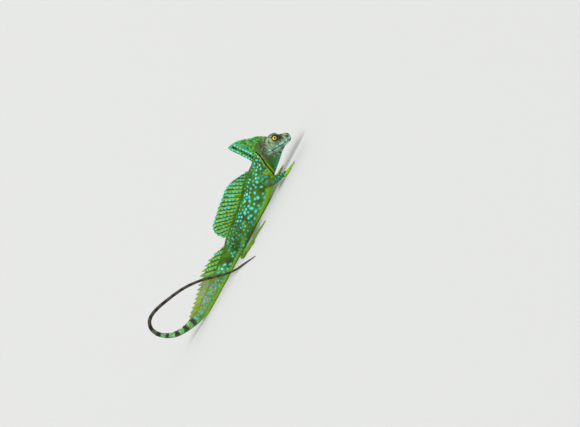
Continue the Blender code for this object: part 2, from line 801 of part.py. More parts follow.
def main():
    clear_scene()
    nodes = {}
    finish = {}

    def add(obj, finish_name):
        nodes[obj.name] = obj
        finish[obj.name] = finish_name

    for name, first, last, sides in TRUNK_NODES:
        add(trunk_node(name, first, last, sides), "tail_skin" if name.startswith("tail") else "body_skin")
    combine(nodes["neck"], [head_cutter()], "DIFFERENCE")
    add(make_head(), "head_skin")
    add(make_eye("eye_l", 1), "eye")
    add(make_eye("eye_r", -1), "eye")

    front = head_fin("head_crest_front", FRONT_CREST_KEYS, 2, 3, HEAD_CREST_ROOT, HEAD_CREST_EDGE)
    add(combine(front, [head_cutter()], "DIFFERENCE"), "crest_skin")
    crest = head_fin("head_crest", MAIN_CREST_KEYS, 2, 6, HEAD_CREST_ROOT, HEAD_CREST_EDGE)
    add(combine(crest, [head_cutter(), trunk_cutter()], "DIFFERENCE"), "crest_skin")
    pouch = head_fin("throat_pouch", POUCH_KEYS, 2, 5, POUCH_ROOT, POUCH_EDGE, 1.4)
    add(combine(pouch, [head_cutter(), trunk_cutter()], "DIFFERENCE"), "throat_skin")

    sail = rayed_fin("dorsal_crest", SAIL_FRONT, SAIL_BACK, SAIL_RAYS, SAIL_KEYS, SAIL_NOTCH, SAIL_ROWS)
    add(sail, "crest_skin")
    fringe = rayed_fin(
        "tail_crest", FRINGE_FRONT, FRINGE_BACK, FRINGE_RAYS, FRINGE_KEYS, FRINGE_NOTCH, FRINGE_ROWS
    )
    add(fringe, "crest_skin")

    for obj in make_limbs().values():
        add(obj, "body_skin")

    folder = collection_named("green_basilisk")
    root = bpy.data.objects.new("basilisk_origin", None)
    folder.objects.link(root)
    corners = []
    for name, obj in nodes.items():
        folder.objects.link(obj)
        obj.parent = root
        obj.data.materials.clear()
        obj.data.materials.append(finish_named(finish[name]))
        corners += [vertex.co for vertex in obj.data.vertices]
    for axis in (0, 1):
        values = [corner[axis] for corner in corners]
        root.location[axis] = -(min(values) + max(values)) / 2
    root.location.z = -min(corner.z for corner in corners)


main()
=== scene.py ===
"""Looks of the green basilisk: one skin over the whole body, its scales, crests, eyes and claws.

Lengths are in millimetres in the body's own frame, which has the vent at x = 0, the head towards +X
and the right side at -Y. A finished mesh is moved into the frame and turned into metres by place().
"""

import itertools
import math

import bmesh
import bpy
import numpy as np
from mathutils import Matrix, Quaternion, Vector
from mathutils.bvhtree import BVHTree
from mathutils.kdtree import KDTree


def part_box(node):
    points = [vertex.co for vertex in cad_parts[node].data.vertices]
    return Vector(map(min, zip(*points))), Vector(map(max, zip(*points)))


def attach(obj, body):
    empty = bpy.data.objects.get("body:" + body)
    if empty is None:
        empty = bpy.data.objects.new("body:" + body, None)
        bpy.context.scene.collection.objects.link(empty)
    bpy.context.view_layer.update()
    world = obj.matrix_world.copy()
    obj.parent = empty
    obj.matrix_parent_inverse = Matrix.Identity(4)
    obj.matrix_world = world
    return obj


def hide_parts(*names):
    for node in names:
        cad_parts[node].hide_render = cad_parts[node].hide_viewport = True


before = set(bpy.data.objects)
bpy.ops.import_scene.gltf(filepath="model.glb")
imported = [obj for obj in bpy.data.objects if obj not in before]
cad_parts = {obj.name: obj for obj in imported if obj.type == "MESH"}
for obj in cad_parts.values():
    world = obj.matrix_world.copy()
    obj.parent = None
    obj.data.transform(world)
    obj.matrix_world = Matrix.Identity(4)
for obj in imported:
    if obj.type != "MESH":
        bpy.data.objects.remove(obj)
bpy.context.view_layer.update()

MM = 0.001
UP = np.array((0.0, 0.0, 1.0))
COAT = 0.22  # how far the bare skin lies inside the solids
SIDES = (("l", 1), ("r", -1))
FAR = 99.0  # a distance that counts as out of reach
CHUNK = 20000  # points measured at one time, to save memory
TINY = 1e-9  # keeps a division by a length of nothing whole
TURN = 2 * math.pi

# Body line from the back of the skull to the bend of the tail: x, z, half width, rise, drop
BODY_KEYS = (
    (169.0, 54.0, 7.4, 5.6, 9.5), (165.0, 52.0, 9.3, 7.9, 11.2), (156.5, 46.5, 10.8, 10.8, 13.5),
    (146.0, 39.5, 12.0, 14.5, 17.5), (134.0, 33.0, 14.0, 19.0, 21.5), (121.0, 28.0, 15.8, 21.5, 23.0),
    (107.0, 24.0, 16.8, 21.5, 22.5), (92.0, 20.5, 17.8, 20.5, 21.4), (76.0, 18.3, 18.0, 19.0, 19.15),
    (60.0, 17.0, 17.0, 18.3, 17.8), (44.0, 16.0, 15.5, 17.2, 16.75), (28.0, 15.0, 14.5, 16.0, 15.7),
    (13.0, 14.2, 13.0, 14.6, 14.0), (-2.0, 13.0, 11.2, 12.6, 13.1), (-17.0, 12.0, 9.8, 11.4, 12.2),
    (-33.0, 11.2, 8.8, 10.6, 11.4), (-50.0, 10.4, 8.0, 9.8, 10.6), (-67.0, 9.6, 7.4, 9.2, 9.8),
    (-84.0, 9.0, 6.9, 8.6, 9.1), (-100.0, 9.8, 6.3, 7.8, 8.2), (-116.0, 13.2, 5.6, 6.7, 6.9),
)
# The tail's loop and whip: x, y, z, radius
LOOP_KEYS = (
    (-131.0, 0.0, 18.5, 5.2), (-143.5, -1.0, 26.0, 4.7), (-152.5, -2.0, 35.5, 4.2),
    (-158.0, -3.5, 47.0, 3.8), (-159.5, -5.0, 58.5, 3.5), (-156.0, -6.5, 69.0, 3.2),
    (-147.5, -8.0, 75.8, 3.05), (-136.0, -9.5, 77.0, 2.9), (-122.0, -11.5, 73.8, 2.8),
    (-108.0, -14.0, 68.6, 2.7), (-94.0, -16.5, 62.8, 2.6), (-80.0, -19.5, 56.0, 2.5),
    (-66.0, -23.0, 47.0, 2.4), (-53.0, -27.5, 36.5, 2.3), (-40.5, -33.5, 24.0, 2.2),
    (-29.5, -41.5, 13.5, 2.1), (-19.5, -51.0, 6.0, 2.0), (-10.5, -63.5, 2.5, 1.85),
    (-3.5, -79.0, 1.65, 1.7), (2.5, -96.0, 1.45, 1.55), (8.0, -112.0, 1.25, 1.35),
    (13.5, -128.0, 1.0, 1.1), (19.5, -145.0, 0.7, 0.8),
)
# The body's bend to either side, one wave of this width and length from its front on
SWAY, SWAY_FRONT, SWAY_LENGTH = 3.5, 140.0, 130.0

# Head, in its own frame: a runs forward along the mouth, n up from it, from the mouth's corner
MOUTH_CORNER = np.array((165.4, 0.0, 39.4))
HEAD_PITCH = math.radians(31.7)
# a, top, bottom, half width
HEAD_KEYS = (
    (-12.0, 17.5, -3.0, 8.0), (-9.0, 19.2, -6.5, 10.8), (-3.0, 20.5, -8.2, 12.4),
    (4.0, 20.8, -9.0, 12.9), (11.0, 20.6, -9.0, 12.2), (17.0, 20.2, -8.6, 10.8),
    (22.0, 19.6, -7.9, 9.4), (26.0, 17.8, -6.8, 8.3), (30.0, 15.2, -5.3, 7.3), (35.0, 13.5, -3.6, 6.3),
    (39.5, 12.3, -2.6, 5.2), (42.6, 10.0, -1.2, 3.7), (44.0, 6.8, 1.4, 1.5),
)
HEAD_SQUARE = 0.82
EYE_AT = np.array((19.4, 5.9, 14.0))  # a, across, n
EYE_RADIUS = 5.0
LID_RADIUS = 6.1  # of the lids' dome over the eye
LID_OPENING = math.radians(41)
GAZE = (math.radians(12), math.radians(8))  # forward and upward of straight out
EAR_AT = np.array((-1.6, 11.6, 6.4))
NOSTRIL_AT = np.array((38.6, 4.7, 8.4))
MOUTH_FRONT = 41.0

# Throat pouch: root and lower edge from the chin to the chest, in the head's frame
POUCH_KEYS = (
    (29.0, -3.0, 28.5, -6.2), (24.0, -2.0, 24.0, -9.0), (17.0, 0.0, 18.2, -13.8),
    (9.0, 1.0, 11.4, -20.0), (1.0, 1.0, 4.0, -26.4), (-7.0, 0.0, -3.0, -32.4),
    (-14.0, -3.0, -8.5, -36.2), (-20.0, -9.0, -16.0, -35.0), (-24.0, -15.0, -24.0, -30.0),
)
POUCH_ROOT = 9.5
POUCH_EDGE = 1.6

# Limbs: x, distance out from the middle, z, radius. Right side at -Y.
ARM = {
    "r": (
        (134, 5, 28, 6.0), (131.5, 12, 27.5, 8.2), (128.5, 20, 25.3, 8.3), (126, 28, 22.3, 7.0),
        (124.2, 34.5, 19.6, 5.8), (125.0, 38.0, 17.9, 5.3), (129, 37.4, 15.6, 5.4), (136, 36, 11.9, 4.9),
        (143, 34.7, 8.0, 3.9), (149, 33.7, 5.0, 3.2), (153, 33.1, 3.7, 2.7),
    ),
    "l": (
        (132, 5, 28, 6.0), (129, 12, 27.5, 8.2), (124, 20, 25.3, 8.3), (119.5, 27.5, 22.8, 7.0),
        (115.6, 33.5, 20.8, 5.8), (115.0, 37.6, 19.0, 5.3), (119, 38.6, 16.3, 5.4), (125.5, 39, 12.4, 4.9),
        (132, 39.4, 8.3, 3.9), (137.5, 39.8, 5.0, 3.2), (141, 40, 3.7, 2.7),
    ),
}
LEG = {
    "r": (
        (7, 2, 16.5, 6.5), (15, 9, 17.6, 9.8), (26, 18, 19.0, 10.4), (37, 26, 20.2, 9.0),
        (47, 32.5, 20.8, 7.4), (53.8, 36.9, 20.6, 6.2), (56.5, 39.3, 19.9, 5.6), (48, 41.4, 17.6, 6.6),
        (38, 44, 14.4, 6.5), (27, 46.8, 10.9, 5.0), (17, 49.4, 7.3, 4.0), (11.5, 50.9, 5.1, 3.6),
        (8.8, 51.6, 4.4, 2.4),
    ),
    "l": (
        (5, 2, 16.5, 6.5), (12, 9, 17.8, 9.8), (21, 19, 19.4, 10.4), (30, 27.5, 20.8, 9.0),
        (38, 34.5, 21.5, 7.4), (43.2, 39.2, 21.2, 6.2), (45.5, 41.6, 20.6, 5.6), (37.8, 44.6, 18.3, 6.6),
        (28, 48.2, 15.0, 6.5), (18, 51.8, 11.2, 5.0), (8.6, 54.8, 7.5, 4.0), (3.5, 56.4, 5.2, 3.6),
        (1.0, 57.2, 4.5, 2.4),
    ),
}
# Wrist or ankle, and the heading of the middle digit in degrees outward from +X
HANDS = {"r": ((148.0, 33.6), 4.0), "l": ((136.5, 39.4), 14.0)}
FEET = {"r": ((11.0, 50.5), 10.0), "l": ((3.5, 55.5), 16.0)}
PALM_KEYS = (
    (-3.2, 1.8, 1.5, 1.5), (-0.8, 3.4, 2.8, 2.8), (4.5, 4.6, 2.6, 2.6), (9.0, 5.3, 2.0, 2.0),
    (12.0, 4.4, 1.5, 1.5),
)
SOLE_KEYS = (
    (-6.4, 1.9, 1.8, 1.8), (-3.6, 3.6, 3.5, 3.4), (3.0, 4.6, 3.3, 3.3),
    (12.0, 5.0, 2.7, 2.7), (20.0, 5.2, 2.2, 2.2), (25.0, 4.0, 1.7, 1.7),
)
# Digits: start along the palm, start across it (outward), spread in degrees, length, radius
FINGERS = (
    (4.0, -3.2, -48.0, 10.0, 1.35),
    (8.5, -3.4, -24.0, 13.5, 1.4),
    (10.0, -0.6, -3.0, 17.0, 1.45),
    (9.5, 2.2, 17.0, 17.5, 1.45),
    (5.5, 3.4, 46.0, 13.0, 1.35),
)
TOES = (
    (8.0, -3.4, -40.0, 13.0, 1.6),
    (17.0, -3.6, -22.0, 20.0, 1.7),
    (22.0, -1.6, -8.0, 31.0, 1.8),
    (22.5, 1.6, 5.0, 43.0, 1.9),
    (9.0, 3.6, 34.0, 26.0, 1.7),
)
KNUCKLE_LIFT = 0.9
CLAW_LENGTH = 3.0

VOXEL = 0.52  # of the skin's first, dense mesh
SKIN_SHARE = 0.355  # of its triangles that are kept
FLOOR_GAP = 0.05  # lowest height of the skin


def smooth(keys, steps):
    """Rows of a Catmull-Rom curve through keys, with steps rows for each span."""
    k = np.array(keys, float)
    rows = np.vstack([k[:1], k, k[-1:]])
    made = []
    for i in range(1, len(rows) - 2):
        p, q, r, s = rows[i - 1 : i + 3]
        for t in np.linspace(0, 1, steps, endpoint=False):
            curve = 2 * q + (r - p) * t + (2 * p - 5 * q + 4 * r - s) * t**2
            made.append(0.5 * (curve + (3 * q - p - 3 * r + s) * t**3))
    made.append(rows[-1])
    return np.array(made)


def angles_of(count):
    """This many angles that share out a full turn."""
    return np.linspace(0, TURN, count, endpoint=False)


def squared(value, power):
    """A sine or cosine bent towards a square's corner by a power below 1."""
    return np.sign(value) * np.abs(value) ** power


def way_along(points):
    """How far along a line of points each of them lies."""
    return np.concatenate([[0], np.cumsum(np.linalg.norm(np.diff(points, axis=0), axis=1))])


def ramp(value, low, high):
    """0 at low, 1 at high, eased in between. low may be above high."""
    t = np.clip((np.asarray(value, float) - low) / (high - low), 0, 1)
    return t * t * (3 - 2 * t)


def bump(value, centre, width):
    """1 at centre, easing to 0 at width from it."""
    return 1 - ramp(np.abs(np.asarray(value, float) - centre), 0, width)


def sway(x):
    """How far to the left the middle of the body lies at x."""
    turns = (SWAY_FRONT - np.asarray(x, float)) / SWAY_LENGTH
    return np.where((turns > 0) & (turns < 2), SWAY * np.sin(math.pi * turns), 0.0)


def off_middle(points):
    """How far to either side of the body's middle each point lies."""
    return np.abs(points[:, 1] - sway(points[:, 0]))


def unit(vectors):
    return vectors / (np.linalg.norm(vectors, axis=1, keepdims=True) + TINY)


def laid_on(lies, outs):
    """Directions turned into the surface that faces outs."""
    return unit(lies - outs * (lies * outs).sum(axis=1, keepdims=True))


class Tube:
    """A bent round form: points along its middle with frames, half widths, rises, drops and arc lengths."""

    def __init__(self, rows, up=UP, grow=0.0):
        rows = np.array(rows, float)
        self.points = rows[:, :3]
        self.sizes = rows[:, 3:6] + grow
        ahead = np.vstack([self.points[1:], self.points[-1:]])
        behind = np.vstack([self.points[:1], self.points[:-1]])
        forward = ahead - behind
        self.forward = forward / np.linalg.norm(forward, axis=1, keepdims=True)
        sides, ups = [], []
        for direction in self.forward:
            side = np.cross(up, direction)
            side /= np.linalg.norm(side)
            up = np.cross(direction, side)
            sides.append(side)
            ups.append(up)
        self.side, self.up = np.array(sides), np.array(ups)
        self.arc = way_along(self.points)

    def at(self, arc):
        """Index of the sample nearest to arc."""
        return int(np.argmin(np.abs(self.arc - arc)))

    def ring(self, index, angles, square=1.0):
        """Points of the surface round sample index, at these angles from its left side."""
        width, rise, drop = self.sizes[index]
        c, s = np.cos(angles), np.sin(angles)
        across = width * squared(c, square)
        height = np.where(s > 0, rise, drop) * squared(s, square)
        return self.points[index] + np.outer(across, self.side[index]) + np.outer(height, self.up[index])

    def locate(self, points):
        """(arc, angle, depth) of points: depth is about how far each lies outside the surface."""
        arcs, angles, depths = [], [], []
        mean = self.sizes.mean(axis=1)
        for start in range(0, max(len(points), 1), CHUNK):
            part = points[start : start + CHUNK]
            squares = (part**2).sum(1)[:, None] + (self.points**2).sum(1)[None] - 2 * part @ self.points.T
            gaps = np.sqrt(np.maximum(squares, 0))
            best = np.argmin(gaps - mean[None], axis=1)
            offset = part - self.points[best]
            across = (offset * self.side[best]).sum(1)
            height = (offset * self.up[best]).sum(1)
            along = (offset * self.forward[best]).sum(1)
            width, rise, drop = self.sizes[best].T
            vertical = np.where(height > 0, rise, drop)
            reach = np.hypot(across, height) + TINY
            edge = reach / np.sqrt((across / width) ** 2 + (height / vertical) ** 2 + 1e-12)
            ends = (best == 0) | (best == len(self.points) - 1)
            beyond = np.where(ends, np.abs(along), 0.0)
            depths.append(np.hypot(np.maximum(reach - edge, 0), beyond) + np.minimum(reach - edge, 0))
            arcs.append(self.arc[best] + np.clip(along, -1.5, 1.5))
            angles.append(np.arctan2(height, across))
        return np.concatenate(arcs), np.concatenate(angles), np.concatenate(depths)


def round_rows(keys, steps):
    rows = smooth(keys, steps)
    return np.column_stack([rows, rows[:, 3], rows[:, 3]])


def trunk_tube(grow=0.0, steps=10):
    keys = [(x, float(sway(x)), z, w, r, d) for x, z, w, r, d in BODY_KEYS]
    keys += [(x, y, z, r, r, r) for x, y, z, r in LOOP_KEYS]
    return Tube(smooth(keys, steps), grow=grow)


def limb_tube(keys, hand, grow=0.0, steps=8):
    rows = round_rows([(x, y * hand, z, r) for x, y, z, r in keys], steps)
    return Tube(rows, grow=grow)


def paw_place(origin, heading, hand):
    """Turns (along, outward, z) at a wrist or ankle into the body's frame."""
    swing = math.radians(heading)

    def at(along, outward, z):
        x = origin[0] + along * math.cos(swing) - outward * math.sin(swing)
        y = origin[1] + along * math.sin(swing) + outward * math.cos(swing)
        return (x, y * hand, z)

    return at


def digit_tube(at, start, outward, spread, length, radius, grow=0.0):
    """A finger or toe with swollen joints, arched a little, down on a flat pad."""
    turn = math.radians(spread)
    rows = []
    for t in np.linspace(0, 1, 25):
        reach = -2.0 + (length + 2.0 - CLAW_LENGTH) * t
        size = radius * (1 - 0.35 * t)
        joints = 1 + 0.09 * math.cos(TURN * (reach / 5.2 - 0.2)) * (t > 0.1)
        z = size * 0.92 + KNUCKLE_LIFT * math.sin(math.pi * min(1.0, t * 1.1)) ** 2
        bend = turn * (1.0 - 0.12 * t)
        place = at(start + reach * math.cos(bend), outward + reach * math.sin(bend), z)
        rows.append((*place, size * joints, size * joints, size))
    return Tube(rows, grow=grow)


def head_to_body(local):
    """Body-frame points from the head's (a, across, n)."""
    local = np.atleast_2d(local)
    c, s = math.cos(HEAD_PITCH), math.sin(HEAD_PITCH)
    x = local[:, 0] * c + local[:, 2] * s
    z = -local[:, 0] * s + local[:, 2] * c
    return MOUTH_CORNER + np.column_stack([x, local[:, 1], z])


def body_to_head(points):
    """The head's (a, across, n) from body-frame points."""
    off = np.atleast_2d(points) - MOUTH_CORNER
    c, s = math.cos(HEAD_PITCH), math.sin(HEAD_PITCH)
    return np.column_stack([off[:, 0] * c - off[:, 2] * s, off[:, 1], off[:, 0] * s + off[:, 2] * c])


SHIFT = np.array((*(sum(np.array(c) for e in ("eye_l", "eye_r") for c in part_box(e)) / 4 / MM)[:2], 0.0))
SHIFT -= head_to_body((EYE_AT[0], 0, EYE_AT[2]))[0] * (1, 1, 0)


def quads_mesh(name, loops, closed_ends=True):
    """A mesh of the quads between rings of points, with its ends filled."""
    count = len(loops[0])
    points = np.vstack(loops)
    faces = []
    for i in range(len(loops) - 1):
        for k in range(count):
            after = (k + 1) % count
            faces.append((i * count + k, i * count + after, (i + 1) * count + after, (i + 1) * count + k))
    if closed_ends:
        faces.append(tuple(range(count)))
        faces.append(tuple(range(len(points) - count, len(points))))
    mesh = bpy.data.meshes.new(name)
    mesh.from_pydata(points.tolist(), [], faces)
    return outward(mesh)


def outward(mesh):
    bm = bmesh.new()
    bm.from_mesh(mesh)
    bmesh.ops.recalc_face_normals(bm, faces=bm.faces)
    bm.to_mesh(mesh)
    bm.free()
    return mesh


def tube_mesh(name, tube, sides, square=1.0):
    return quads_mesh(name, [tube.ring(i, angles_of(sides), square) for i in range(len(tube.points))])


def head_sections(grow):
    """(a, middle, half width, rise, drop) along the head."""
    rows = smooth(HEAD_KEYS, 8)
    a, top, low, width = rows.T
    middle = low + 0.42 * (top - low)
    return np.column_stack([a, middle, width + grow, top - middle + grow, middle - low + grow])


def head_mesh(grow, sides=72):
    loops = []
    c, s = np.cos(angles_of(sides)), np.sin(angles_of(sides))
    for a, middle, width, rise, drop in head_sections(grow):
        flat_top = 1 - 0.28 * ramp(a, 6, 22) * (1 - 0.5 * ramp(a, 34, 43))
        square = np.where(s > 0, HEAD_SQUARE * flat_top, HEAD_SQUARE)
        across = width * squared(c, HEAD_SQUARE)
        across *= 1 - 0.10 * ramp(s, 0.2, 0.9)
        height = np.where(s > 0, rise, drop) * squared(s, square)
        loops.append(head_to_body(np.column_stack([np.full(sides, a), across, middle + height])))
    return quads_mesh("head_form", loops)


def pouch_mesh(grow):
    """The throat pouch, a wedge from the jaws and neck down to its thin lower edge."""
    loops = []
    for root_a, root_n, edge_a, edge_n in smooth(POUCH_KEYS, 4):
        root, edge = np.array((root_a, 0, root_n)), np.array((edge_a, 0, edge_n))
        left, right = [], []
        for t in np.linspace(0, 1, 17):
            half = POUCH_EDGE + (POUCH_ROOT - POUCH_EDGE) * (1 - t) ** 1.4 + grow
            half *= math.sqrt(max(1 - max(0.0, (t - 0.93) / 0.075) ** 2, 0.02))
            point = root + (edge - root) * t
            left.append(point + (0, half, 0))
            right.append(point - (0, half, 0))
        loops.append(head_to_body(np.array(left + right[::-1])))
    return quads_mesh("pouch_form", loops)


def ball_mesh(centre, sizes, segments=32, rings=24):
    bm = bmesh.new()
    bmesh.ops.create_uvsphere(bm, u_segments=segments, v_segments=rings, radius=1.0)
    mesh = bpy.data.meshes.new("ball")
    bm.to_mesh(mesh)
    bm.free()
    points = vertex_array(mesh) * sizes + centre
    set_vertices(mesh, head_to_body(points))
    return mesh


def read(items, key, width, kind=np.float32):
    """One property of all these items of a mesh, a row for each."""
    found = np.empty(len(items) * width, kind)
    items.foreach_get(key, found)
    return found.reshape(-1, width)


def vertex_array(mesh):
    return read(mesh.vertices, "co", 3).astype(float)


def normals_of(mesh):
    return read(mesh.vertex_normals, "vector", 3).astype(float)


def mesh_edges(mesh):
    return read(mesh.edges, "vertices", 2, np.int32)


def set_vertices(mesh, points):
    mesh.vertices.foreach_set("co", np.asarray(points, np.float32).ravel())
    mesh.update()


def new_object(name, data):
    """A new object of the scene."""
    obj = bpy.data.objects.new(name, data)
    bpy.context.scene.collection.objects.link(obj)
    return obj


def evaluated(obj):
    bpy.context.view_layer.update()
    graph = bpy.context.evaluated_depsgraph_get()
    return bpy.data.meshes.new_from_object(obj.evaluated_get(graph))


def joined(meshes, name):
    """One mesh that holds all of these."""
    bm = bmesh.new()
    for mesh in meshes:
        bm.from_mesh(mesh)
    whole = bpy.data.meshes.new(name)
    bm.to_mesh(whole)
    bm.free()
    return whole


trunk = trunk_tube(-COAT)
limbs = [limb_tube(keys[side], hand, -COAT) for keys in (ARM, LEG) for side, hand in SIDES]
palms, digits = [], []
PAWS = ((HANDS, PALM_KEYS, FINGERS), (FEET, SOLE_KEYS, TOES))
for (side, hand), (spots, keys, fingers) in itertools.product(SIDES, PAWS):
    at = paw_place(*spots[side], hand)
    rows = [(*at(along, 0, drop * 0.96), width, rise, drop) for along, width, rise, drop in smooth(keys, 4)]
    palms.append(Tube(rows, grow=-COAT))
    digits += [digit_tube(at, *finger, grow=-COAT * 0.6) for finger in fingers]


def skin_forms():
    forms = [tube_mesh("trunk", trunk, 72), head_mesh(-COAT), pouch_mesh(-COAT)]
    forms += [tube_mesh("limb", tube, 40) for tube in limbs]
    forms += [tube_mesh("palm", tube, 32) for tube in palms]
    forms += [tube_mesh("digit", tube, 16) for tube in digits]
    for hand in (1, -1):
        forms.append(ball_mesh(EYE_AT * (1, hand, 1), np.array((LID_RADIUS, LID_RADIUS - 0.5, LID_RADIUS))))
        forms.append(ball_mesh(np.array((19.2, 6.3 * hand, 18.2)), np.array((8.2, 2.9, 2.9))))
    return forms


def modified(mesh, kind, **settings):
    """The mesh after one modifier."""
    obj = new_object("form", mesh)
    modifier = obj.modifiers.new(kind, kind)
    for key, value in settings.items():
        setattr(modifier, key, value)
    result = evaluated(obj)
    bpy.data.objects.remove(obj)
    return result


def relax(points, edges, weights, rounds):
    """Moves points towards the mean of their neighbours, by weights, this many times."""
    a, b = edges.T
    both = np.concatenate([a, b])
    count = np.bincount(both, minlength=len(points))[:, None]
    for _ in range(rounds):
        sums = [np.bincount(both, np.concatenate([p[b], p[a]]), len(points)) for p in points.T]
        points = points + weights[:, None] * (np.column_stack(sums) / count - points)
    return points


class Anatomy:
    """Which part of the animal each point belongs to, and where it is on that part."""

    PARTS = ("trunk", "head", "pouch", "arm_l", "arm_r", "leg_l", "leg_r", "paw")

    def __init__(self, points):
        count = len(points)
        self.points = points
        self.local = body_to_head(points)
        self.arc, self.angle, trunk_depth = trunk.locate(points)
        depths = [trunk_depth, self.head_depth(), self.pouch_depth()]
        self.limb_arc = np.zeros(count)
        self.limb_angle = np.zeros(count)
        limb_arcs, limb_angles = [], []
        for tube in limbs:
            arc, angle, depth = tube.locate(points)
            limb_arcs.append(arc)
            limb_angles.append(angle)
            depths.append(depth)
        paw_depth = np.full(count, FAR)
        self.digit_share = np.zeros(count)
        near = np.flatnonzero(points[:, 2] < 9)
        for tube in palms:
            paw_depth[near] = np.minimum(paw_depth[near], tube.locate(points[near])[2])
        for tube in digits:
            arc, _, depth = tube.locate(points[near])
            closer = depth < paw_depth[near]
            paw_depth[near[closer]] = depth[closer]
            self.digit_share[near[closer]] = arc[closer] / tube.arc[-1]
        depths.append(paw_depth)
        self.depths = np.array(depths)
        order = np.sort(self.depths, axis=0)
        self.part = np.argmin(self.depths, axis=0)
        self.junction = 1 - ramp(order[1], 0.8, 4.0)
        for index in range(4):
            own = self.part == 3 + index
            self.limb_arc[own] = limb_arcs[index][own]
            self.limb_angle[own] = limb_angles[index][own]
        self.forward = VENT_ARC - self.arc  # ahead of the vent along the body

    def is_part(self, *names):
        return np.isin(self.part, [self.PARTS.index(name) for name in names])

    def head_depth(self):
        sections = head_sections(-COAT)
        a = np.clip(self.local[:, 0], sections[0, 0], sections[-1, 0])
        middle, width, rise, drop = (np.interp(a, sections[:, 0], sections[:, k]) for k in range(1, 5))
        across, height = self.local[:, 1], self.local[:, 2] - middle
        vertical = np.where(height > 0, rise, drop)
        reach = np.hypot(across, height) + TINY
        power = 2 / HEAD_SQUARE
        share = (np.abs(across / width) ** power + np.abs(height / vertical) ** power) ** (1 / power)
        beyond = np.abs(self.local[:, 0] - a)
        return np.hypot(np.maximum(reach - reach / share, 0), beyond) + np.minimum(reach - reach / share, 0)

    def pouch_depth(self):
        """Distance from the pouch's wedge, from its middle plane."""
        rows = smooth(POUCH_KEYS, 4)
        root, edge = rows[:, :2], rows[:, 2:]
        shares = np.linspace(0.15, 1, 14)
        grid = (root[:, None] + (edge - root)[:, None] * shares[None, :, None]).reshape(-1, 2)
        halves = np.tile(POUCH_EDGE + (POUCH_ROOT - POUCH_EDGE) * (1 - shares) ** 1.4, len(rows))
        flat = self.local[:, [0, 2]]
        result = np.full(len(flat), FAR)
        a, n = flat.T
        near = np.flatnonzero((n < 2) & (n > -42) & (a > -30) & (a < 34))
        gaps = np.linalg.norm(flat[near, None] - grid[None], axis=2)
        best = gaps.argmin(axis=1)
        off = gaps[np.arange(len(near)), best]
        outside = np.abs(self.local[near, 1]) - halves[best]
        sign = np.sign(outside + np.maximum(off - 1.6, 0))
        result[near] = np.hypot(np.maximum(off - 0.8, 0), outside) * sign
        return result


def arc_at_x(x):
    """How far along the body the place at x lies, ahead of the tail's bend."""
    bend = int(np.argmin(trunk.points[:, 0]))
    return np.interp(-np.asarray(x, float), -trunk.points[:bend, 0], trunk.arc[:bend])


VENT_ARC = float(arc_at_x(0.0))


def gaze(hand):
    """The eye's outward direction, in the head's frame."""
    forward, up = GAZE
    direction = np.array((math.sin(forward), hand * math.cos(forward), math.sin(up)))
    return direction / np.linalg.norm(direction)


def from_gaze(local, hand):
    """The offset of points from an eye, their distance from it and their angle from its gaze."""
    offset = local - EYE_AT * (1, hand, 1)
    reach = np.linalg.norm(offset, axis=1) + TINY
    return offset, reach, np.arccos(np.clip(offset @ gaze(hand) / reach, -1, 1))


def lid_edge(slope):
    """Angle of the lids' rim from the gaze, narrower above and below (slope 1) than in front."""
    return LID_OPENING * (1.10 - 0.22 * slope)


def oval_reach(a, n, at, half_a, half_n):
    """Distance from a place on the head's side, where 1 is the rim of an oval with these halves."""
    return np.hypot((a - at[0]) / half_a, (n - at[2]) / half_n)


def mouth_height(a):
    """Height of the line between the lips at a along the head."""
    share = np.clip(a / MOUTH_FRONT, 0, 1)
    return -0.5 * np.sin(math.pi * share) + 0.6 * share**3


